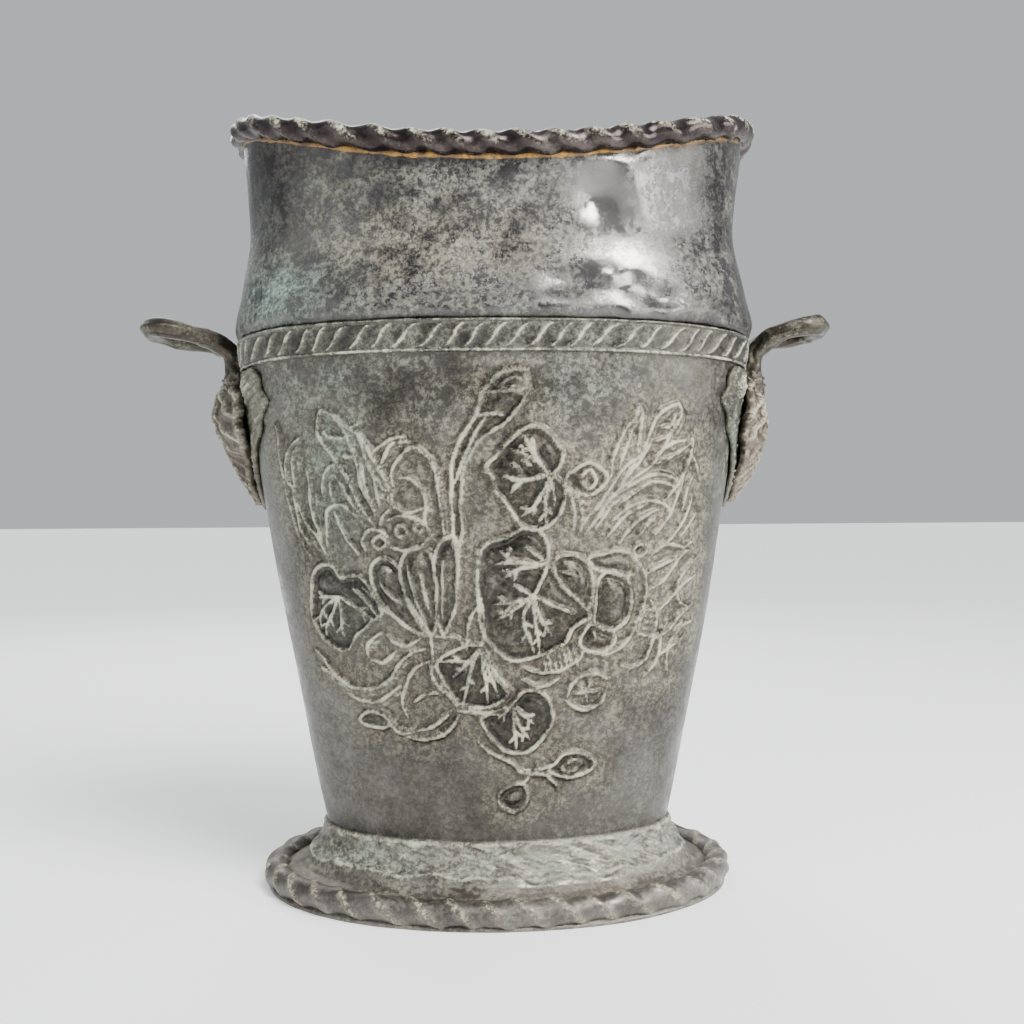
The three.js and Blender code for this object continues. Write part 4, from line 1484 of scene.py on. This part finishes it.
@dataclass(frozen=True)
class Handle:
    """A leafy handle: a rod loop, its binding, a leaf with its stem, a lug and a backplate."""

    shape: PotShape
    side: Side
    grip_radius: float = 4.5 * MM
    arm: tuple[tuple[float, float, float], ...] = (
        (117.8, 5.0, 224.0), (118.2, 5.3, 231.0), (119.4, 5.8, 238.1), (122.6, 8.3, 241.6),
        (126.6, 11.6, 244.3), (134.5, 15.6, 246.6), (143.5, 17.0, 248.2), (150.4, 11.6, 249.2),
        (153.1, 0, 249.6),
    )  # fmt: skip
    plate_half: Line = ((0, 39), (0.2, 43), (0.42, 36), (0.68, 19), (0.88, 8), (1, 1.2))
    stem_path: Line = ((216.7, 5.6), (205, 7.4), (192, 6.8), (182, 3.9))

    @property
    def leaf_half(self) -> Line:
        """The leaf's half width, by share from its top. The left leaf narrows sooner to a tongue.

        Returns:
            Pairs of share and half width, in millimetres.
        """
        if self.side is Side.LEFT:
            return ((0, 9), (0.06, 16), (0.14, 22), (0.27, 25.5), (0.42, 24), (0.53, 20), (0.6, 11),
                    (0.68, 7.5), (0.85, 6.5), (0.95, 4), (1, 1))  # fmt: skip
        return ((0, 9), (0.06, 15), (0.14, 20), (0.27, 24), (0.4, 23), (0.52, 20), (0.66, 16), (0.8, 12),
                (0.92, 7), (0.97, 4), (1, 1))  # fmt: skip

    @property
    def leaf_rise(self) -> Line:
        """How far the leaf's rib stands off the pot, by share from its top.

        The left leaf bulges more at the top.

        Returns:
            Pairs of share and rise, in millimetres.
        """
        if self.side is Side.LEFT:
            return ((0, 7.5), (0.12, 12.5), (0.28, 15.5), (0.45, 14), (0.7, 9.6), (0.88, 5.0), (1, 2))
        return ((0, 5.5), (0.12, 8.6), (0.35, 12.6), (0.55, 12.8), (0.75, 9.8), (0.9, 5.2), (1, 2))

    @property
    def name(self) -> str:
        """The handle's prefix in the frame."""
        return self.side.name.lower()

    def placed(self, spots: np.ndarray) -> np.ndarray:
        """Points of the right handle, turned to this end."""
        return spots * (self.side.value, self.side.value, 1)

    @property
    def bent_arm(self) -> np.ndarray:
        """The loop's path, knocked a little outwards at the left and inwards at the right.

        Returns:
            The path's points, in millimetres, one row each.
        """
        arm = np.array(self.arm)
        arm[:, 0] += (3.6 if self.side is Side.LEFT else -2.8) * smooth_step(arm[:, 0], 121, 135)
        return arm

    def build(
        self, part: str, bm: bmesh.types.BMesh, spots: np.ndarray, material: bpy.types.Material
    ) -> bpy.types.Object:
        """Places a mesh and finishes it as the piece that stands for one node."""
        reshape(bm, lambda _: self.placed(spots))
        return finished(f"{self.name}_{part}_skin", bm, material, [f"{self.name}_{part}"])

    def make(
        self, material: bpy.types.Material, crusted: bpy.types.Material, worn: bpy.types.Material
    ) -> None:
        """Builds every piece of the handle.

        Args:
            material: the finish.
            crusted: the finish of the backplate.
            worn: the finish of the grip.
        """
        self.grip(worn)
        self.binding(material)
        self.leaf(material)
        self.backplate(crusted)
        self.stem(material)
        self.lug(material)

    def tube(
        self, sides: int, steps: int, path: np.ndarray, reach: Callable
    ) -> tuple[bmesh.types.BMesh, np.ndarray, tuple]:
        """A bar along a path.

        Args:
            sides: facets round the bar.
            steps: facets along it.
            path: the points of its middle line.
            reach: gives the radius from the angle round and the share along.

        Returns:
            The mesh, its vertices' places, and the angle round and share along of each.
        """
        bm = rod(sides, steps)
        rough = corners_of(bm)
        share = rough[:, 2]
        lean = np.arctan2(rough[:, 1], rough[:, 0])
        centre, across, over = along_path(path, share)
        radius = np.hypot(rough[:, 0], rough[:, 1]) * reach(lean, share)
        spots = centre + radius[:, None] * (np.cos(lean)[:, None] * across + np.sin(lean)[:, None] * over)
        return bm, spots, (lean, share)

    def grip(self, material: bpy.types.Material) -> bpy.types.Object:
        """The loop of grooved rod, like a bent twig.

        Args:
            material: the finish.

        Returns:
            The finished piece.
        """
        arm = self.bent_arm
        path = smooth_line(np.vstack([arm * (1, -1, 1), arm[-2::-1]]), 240) * MM
        dice = np.random.default_rng(31)
        knots = [(place, dice.uniform(0, math.tau)) for place in (0.2, 0.37, 0.58, 0.79)]

        def reach(lean: np.ndarray, share: np.ndarray) -> np.ndarray:
            """The rod's radius.

            Args:
                lean: the angle round the rod.
                share: how far along it, from 0 to 1.

            Returns:
                The radius in metres.
            """
            grooves = 0.10 * np.abs(np.sin(2.5 * lean + 3 * share)) + 0.05 * np.sin(5 * lean - 9 * share)
            lump = sum(
                0.16 * np.exp(-(((share - at) / 0.018) ** 2)) * (0.6 + 0.4 * np.cos(lean - to))
                for at, to in knots
            )
            slim = 1 - 0.12 * np.sin(share * math.pi * 6) ** 2
            return self.grip_radius * (0.9 + grooves + lump) * slim

        bm, spots, (lean, share) = self.tube(40, 260, path, reach)
        piece = self.build("grip", bm, spots, material)
        paint(piece, FURROW, smooth_step(-np.abs(np.sin(2.5 * lean + 3 * share)), -0.3, 0.0) * 0.9)
        paint(piece, CREST, smooth_step(np.abs(np.sin(2.5 * lean + 3 * share)), 0.93, 1.0) * 0.25)
        return piece

    def binding(self, material: bpy.types.Material) -> bpy.types.Object:
        """The cuff that ties the loop's feet to the leaf, wrapped with a twisted cord.

        Args:
            material: the finish.

        Returns:
            The finished piece.
        """
        low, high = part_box("right_binding")
        middle = (low + high) / 2
        bottom, top = low.z - 9.5 * MM, high.z - 3.5 * MM
        bm = rod(72, 90)
        rough = corners_of(bm)
        share, lean = rough[:, 2], np.arctan2(rough[:, 1], rough[:, 0])
        wide = lerp(15.0, 9.6, smooth_step(share, 0.0, 0.9))
        deep = lerp(7.6, 5.8, smooth_step(share, 0.0, 0.9))
        wraps = np.exp(-(((share - 0.42 - 0.06 * np.cos(2 * lean)) / 0.07) ** 2))
        wraps += np.exp(-(((share - 0.64 - 0.06 * np.cos(2 * lean)) / 0.07) ** 2))
        strands = 0.5 + 0.5 * np.sin(26 * lean + 40 * share)
        furl = 0.35 * np.sin(9 * lean + 3) * (1 - wraps) + wraps * (0.9 + 0.5 * strands)
        ends = np.sqrt(np.clip(1 - (2 * share - 1) ** 8, 0.05, 1))
        scale = np.hypot(rough[:, 0], rough[:, 1]) * ends
        spots = np.column_stack(
            [
                middle.x / MM + lerp(-4.2, -3.4, share) + np.cos(lean) * scale * (deep + furl),
                np.sin(lean) * scale * (wide + furl),
                lerp(bottom, top, share) / MM,
            ]
        )
        piece = self.build("binding", bm, spots * MM, material)
        paint(piece, CREST, np.clip(wraps * strands, 0, 1) * 0.7)
        paint(piece, FURROW, np.clip(wraps, 0, 1) * smooth_step(-strands, -0.4, 0) * 0.8)
        return piece

    def leaf(self, material: bpy.types.Material) -> bpy.types.Object:
        """The lobed leaf with thick veins.

        Args:
            material: the finish.

        Returns:
            The finished piece.
        """
        low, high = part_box("right_leaf")
        bm = slab(72, 130)
        flat = corners_of(bm)
        share = 1 - flat[:, 1]
        half_curve, rise_curve = smooth_line(self.leaf_half, 300), smooth_line(self.leaf_rise, 300)
        half = np.interp(share, half_curve[:, 0], half_curve[:, 1])
        half *= 1 + 0.08 * np.cos(share * 41 + 1.5 * np.sign(flat[:, 0])) * smooth_step(-share, -0.9, -0.7)
        y = flat[:, 0] * half
        drop = share * (high.z - low.z) / MM
        height = high.z - drop * MM
        off = lerp(np.interp(share, rise_curve[:, 0], rise_curve[:, 1]), 2.2, flat[:, 0] ** 2 * 0.85)
        ray = np.arctan2(y, drop + 5)
        away = np.hypot(y, drop + 5)
        fan_gap = np.abs((ray / 0.27 + 0.5) % 1 - 0.5) * 0.27 * away
        rib = np.exp(-((fan_gap / (0.55 + 0.022 * away)) ** 2)) * smooth_step(-np.abs(ray), -1.4, -1.2)
        tongue = smooth_step(share, 0.5, 0.62)
        barbs = np.abs(((drop - np.abs(y) * 1.2) / 5.5) % 1 - 0.5) * 5.5
        rib = lerp(rib, np.maximum(np.exp(-((y / 1.1) ** 2)), 0.7 * np.exp(-((barbs / 0.8) ** 2))), tongue)
        border = smooth_step(np.abs(flat[:, 0]), 0.86, 0.96)
        ridge = np.maximum(rib, border * 0.45)
        outside = flat[:, 2] > 0.5
        curl = 0.9 * np.sin(share * 15 + 2 * np.sign(flat[:, 0])) * np.abs(flat[:, 0]) ** 3
        lift = off + np.where(outside, 2.4 + 2.0 * ridge, 0.0) + curl
        x = self.shape.end_reach(np.clip(np.abs(y), 0, 40) * MM, height) + lift * MM
        piece = self.build("leaf", bm, np.column_stack([x, y * MM, height]), material)
        paint(piece, CREST, ridge * outside * 0.8)
        shade = 0.35 if self.side is Side.RIGHT else 0.75
        paint(piece, FURROW, smooth_step(-ridge, -0.5, 0.0) * outside * shade)
        paint(piece, "dust", (0.35 + 0.5 * ridge) * outside * (1.3 if self.side is Side.RIGHT else 0.25))
        return piece

    def backplate(self, material: bpy.types.Material) -> bpy.types.Object:
        """The thin plate under the leaf, soldered flat to the pot, with a solder lump at each side.

        Args:
            material: the finish.

        Returns:
            The finished piece.
        """
        low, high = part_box("right_backplate")
        bm = slab(110, 90)
        flat = corners_of(bm)
        share = 1 - flat[:, 1]
        curve = smooth_line(self.plate_half, 200)
        half = np.clip(np.interp(share, curve[:, 0], curve[:, 1]), 0, 43)
        half *= 1 + 0.03 * np.sin(share * 31) * smooth_step(-share, -0.95, -0.8)
        y = flat[:, 0] * half
        height = low.z + flat[:, 1] * (high.z - low.z)
        outside = flat[:, 2] > 0.5
        lumps = 1.6 * patch(np.abs(y), height / MM, 27, 220, 7, 5)
        lumps += 0.8 * patch(np.abs(y), height / MM, 12, 190, 5, 12)
        rim = 0.5 * smooth_step(np.abs(flat[:, 0]), 0.85, 0.95)
        fine_crust = ripple(y / 3, height * 120, 52, 0.2) * (1 - flat[:, 0] ** 4)
        crust = ripple(y / 9, height * 60, 51, 0.6) + fine_crust
        lift = 0.6 + np.where(outside, 1.4 + lumps + rim + crust, 0)
        x = self.shape.end_reach(np.abs(y) * MM, height) + lift * MM
        piece = self.build("backplate", bm, np.column_stack([x, y * MM, height]), material)
        paint(piece, CREST, np.clip(0.1 + lumps / 1.5 + 0.9 * crust, 0, 1) * outside)
        paint(piece, FURROW, smooth_step(-crust, 0.05, 0.5) * outside * 0.5)
        paint(piece, "mint", 0.5 * patch(y, height / MM, -20, 205, 26, 20))
        paint(piece, "bare", patch(y, height / MM, -4, 185, 9, 16))
        return piece

    def stem(self, material: bpy.types.Material) -> bpy.types.Object:
        """The thin stem behind the leaf.

        Args:
            material: the finish.

        Returns:
            The finished piece.
        """
        curve = smooth_line(self.stem_path, 60) * MM
        reach_out = self.shape.end_reach(np.zeros(len(curve)), curve[:, 0])
        path = np.column_stack([reach_out + curve[:, 1], np.zeros(len(curve)), curve[:, 0]])
        path[:, 1] = np.linspace(-0.4, 0.4, len(curve)) * MM
        bm, spots, _ = self.tube(
            20, 60, path, lambda lean, share: 1.8 * MM * (1 + 0.08 * np.sin(3 * lean + 8 * share))
        )
        return self.build("stem", bm, spots, material)

    def lug(self, material: bpy.types.Material) -> bpy.types.Object:
        """The block that joins the leaf's top to the pot.

        Args:
            material: the finish.

        Returns:
            The finished piece.
        """
        low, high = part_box("right_lug")
        middle = (low + high) / 2
        path = np.array([(middle.x, y, middle.z) for y in np.linspace(low.y, high.y, 30)])
        bm, spots, _ = self.tube(
            28, 30, path, lambda lean, share: 3.5 * MM * (1 + 0.05 * np.sin(4 * lean + 9 * share))
        )
        return self.build("lug", bm, spots, material)


@dataclass(frozen=True)
class RimSolder:
    """The brazing run that holds the rope to the neck."""

    shape: PotShape
    thick: float = 1.5 * MM
    below: float = 4.7 * MM

    def make(self, material: bpy.types.Material) -> bpy.types.Object:
        """Builds the run and dresses it.

        Args:
            material: the finish.

        Returns:
            The finished piece.
        """
        around = np.linspace(0, math.tau, 10, endpoint=False)
        bm = ring(np.column_stack([np.cos(around), np.sin(around)]) * 0.1, 700)
        rough = corners_of(bm)
        oval = self.shape.rim_oval().grown(-1.6 * MM)
        angle = Tape(oval).spread(turn_of(rough))
        lean = np.arctan2(rough[:, 2], np.hypot(rough[:, 0], rough[:, 1]) - 1)
        reach = self.thick + ripple(angle * 9, lean * 0.001, 41, 0.5 * MM)
        spots = facing(oval.at(angle)) + facing(oval.outward(angle)) * (np.cos(lean) * reach)[:, None]
        spots[:, 2] = self.shape.rim_height(angle) - self.below + np.sin(lean) * reach
        reshape(bm, lambda _: spots)
        piece = finished("rim_solder", bm, material)
        rusty = 0.3 + 0.8 * patch(spots[:, 0] / MM, spots[:, 1] / MM, 5, -75, 60, 30)
        paint(piece, "rust", np.clip(rusty, 0, 1))
        return piece


# ---------------------------------------------------------------- the studio


@dataclass(frozen=True)
class Lamp:
    """A soft square light that points at the pot."""

    name: str
    spot: tuple[float, float, float]
    size: float
    watts: float
    colour: tuple[float, float, float] = (1.0, 1.0, 1.0)

    def make(self, target: Vector) -> None:
        """Adds the light.

        Args:
            target: the point that the light looks at.
        """
        data = bpy.data.lights.new(self.name, "AREA")
        data.size = self.size
        data.energy = self.watts
        data.color = self.colour
        lamp = bpy.data.objects.new(self.name, data)
        lamp.location = self.spot
        lamp.rotation_euler = (target - Vector(self.spot)).to_track_quat("-Z", "Y").to_euler()
        bpy.context.scene.collection.objects.link(lamp)


@dataclass(frozen=True)
class Studio:
    """A wide pale floor under a soft grey sky, the lamps, the sun and the camera."""

    lens: float = 36.84
    eye: tuple[float, float, float] = (-0.0017, -0.4836, 0.1613)
    look: tuple[float, float, float] = (0.0192, 0.9998, 0.00908)
    roll: float = math.radians(-0.4)
    sky: tuple[float, float, float] = (0.86, 0.89, 0.92)
    sun_from: tuple[float, float, float] = (0.55, -0.6, 1.0)
    sun_watts: float = 3.0
    sun_spread: float = 0.5
    sky_strength: float = 0.62
    lamps: tuple[Lamp, ...] = (
        Lamp("key", (0.42, -0.5, 0.75), 0.3, 7.0, (1.0, 0.985, 0.96)),
        Lamp("fill", (-1.0, -0.6, 0.7), 0.9, 3.0, (0.92, 0.96, 1.0)),
        Lamp("side", (0.95, -0.45, 0.4), 0.45, 9.0),
        Lamp("back", (-0.3, 0.9, 1.0), 0.8, 10.0),
    )

    def floor(self) -> bpy.types.Object:
        """The wide pale floor.

        Returns:
            The floor object, which is never part of the pot.
        """
        bm = bmesh.new()
        bmesh.ops.create_grid(bm, x_segments=1, y_segments=1, size=40)
        mesh = bpy.data.meshes.new("floor")
        bm.to_mesh(mesh)
        bm.free()
        mesh.shade_smooth()
        material = bpy.data.materials.new("pale_floor")
        material.use_nodes = True
        shader = material.node_tree.nodes["Principled BSDF"]
        shader.inputs["Base Color"].default_value = (0.93, 0.935, 0.94, 1)
        shader.inputs["Roughness"].default_value = 0.8
        shader.inputs["Emission Color"].default_value = (1, 1, 1, 1)
        shader.inputs["Emission Strength"].default_value = 0.25
        mesh.materials.append(material)
        ground = bpy.data.objects.new("floor", mesh)
        bpy.context.scene.collection.objects.link(ground)
        return ground

    def make(self) -> None:
        """Builds the studio and sets the camera."""
        self.floor()
        target = Vector((0, 0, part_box("body_front")[1].z * 0.75))
        for lamp in self.lamps:
            lamp.make(target)
        sun_data = bpy.data.lights.new("sun", "SUN")
        sun_data.energy = self.sun_watts
        sun_data.angle = self.sun_spread
        sun = bpy.data.objects.new("sun", sun_data)
        sun.rotation_euler = (-Vector(self.sun_from)).to_track_quat("-Z", "Y").to_euler()
        bpy.context.scene.collection.objects.link(sun)
        world = bpy.data.worlds.new("soft_sky")
        world.use_nodes = True
        world.node_tree.nodes["Background"].inputs["Color"].default_value = (*self.sky, 1)
        world.node_tree.nodes["Background"].inputs["Strength"].default_value = self.sky_strength
        bpy.context.scene.world = world
        data = bpy.data.cameras.new("camera")
        data.lens = self.lens
        data.sensor_width = 36
        data.clip_start = 0.01
        camera = bpy.data.objects.new("camera", data)
        camera.location = self.eye
        turned = Vector(self.look).to_track_quat("-Z", "Y") @ Quaternion((0, 0, 1), self.roll)
        camera.rotation_euler = turned.to_euler()
        bpy.context.scene.collection.objects.link(camera)
        bpy.context.scene.camera = camera


# ---------------------------------------------------------------- the whole

# Each finish has its dark and light tones of tarnish, how much crust it carries, and how rough its
# clean metal is.
PATINAS = (
    Patina("sheet_patina", (0.040, 0.037, 0.033), (0.135, 0.128, 0.113), crust=0.9, gloss=0.26),
    Patina("rope_patina", (0.028, 0.021, 0.021), (0.10, 0.08, 0.075), crust=0.2, gloss=0.2),
    Patina("foot_patina", (0.08, 0.073, 0.066), (0.23, 0.21, 0.19), crust=0.5, gloss=0.34),
    Patina("cast_patina", (0.055, 0.045, 0.036), (0.21, 0.175, 0.14), crust=0.7, gloss=0.34),
    Patina("plate_patina", (0.05, 0.045, 0.035), (0.19, 0.175, 0.13), crust=0.95, gloss=0.45),
    Patina("twig_patina", (0.022, 0.019, 0.015), (0.10, 0.085, 0.065), crust=0.5, gloss=0.34),
    Patina("neck_patina", (0.040, 0.038, 0.038), (0.13, 0.125, 0.122), crust=0.72, gloss=0.24),
)


def main() -> None:
    """Builds the pot, piece by piece, then the studio round it."""
    logging.basicConfig(level=logging.INFO, format="%(name)s: %(message)s")
    shape = PotShape()
    groups = {"clouds": clouds_group(), "crust": verdigris_group(), "zones": zones_group()}
    sheet, rope, foot, cast, plate, twig, silvery = (patina.made(groups) for patina in PATINAS)
    relief = Relief(shape, DRAWING)
    Body(shape, relief).make(sheet)
    ShoulderBand(shape).make(sheet)
    Neck(shape).make(silvery)
    RimSolder(shape).make(rope)
    Rope("rim_rope", shape.rim_oval(), shape.rim_height, turns=21).make(rope)
    foot_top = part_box("foot_rope")[1].z
    foot_oval = shape.body(shape.bottom).grown(24.1 * MM)
    foot_rope = Rope(
        "foot_rope",
        foot_oval,
        lambda angle: np.full(len(angle), foot_top / 2),
        turns=18,
        radius=5.7 * MM,
        tall=1.04,
        waist=0.86,
        sharp=5.0,
        pale=0.5,
        tan=0.6,
        highlight_on_top=0.3,
        seed=23,
    )
    foot_rope.make(foot)
    Foot(shape).make(foot)
    for side in Side:
        Handle(shape, side).make(cast, plate, twig)
    floor_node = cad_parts["pot_floor"]
    floor_node.data.materials.clear()
    floor_node.data.materials.append(sheet)
    Studio().make()


if __name__ == "__main__":
    main()
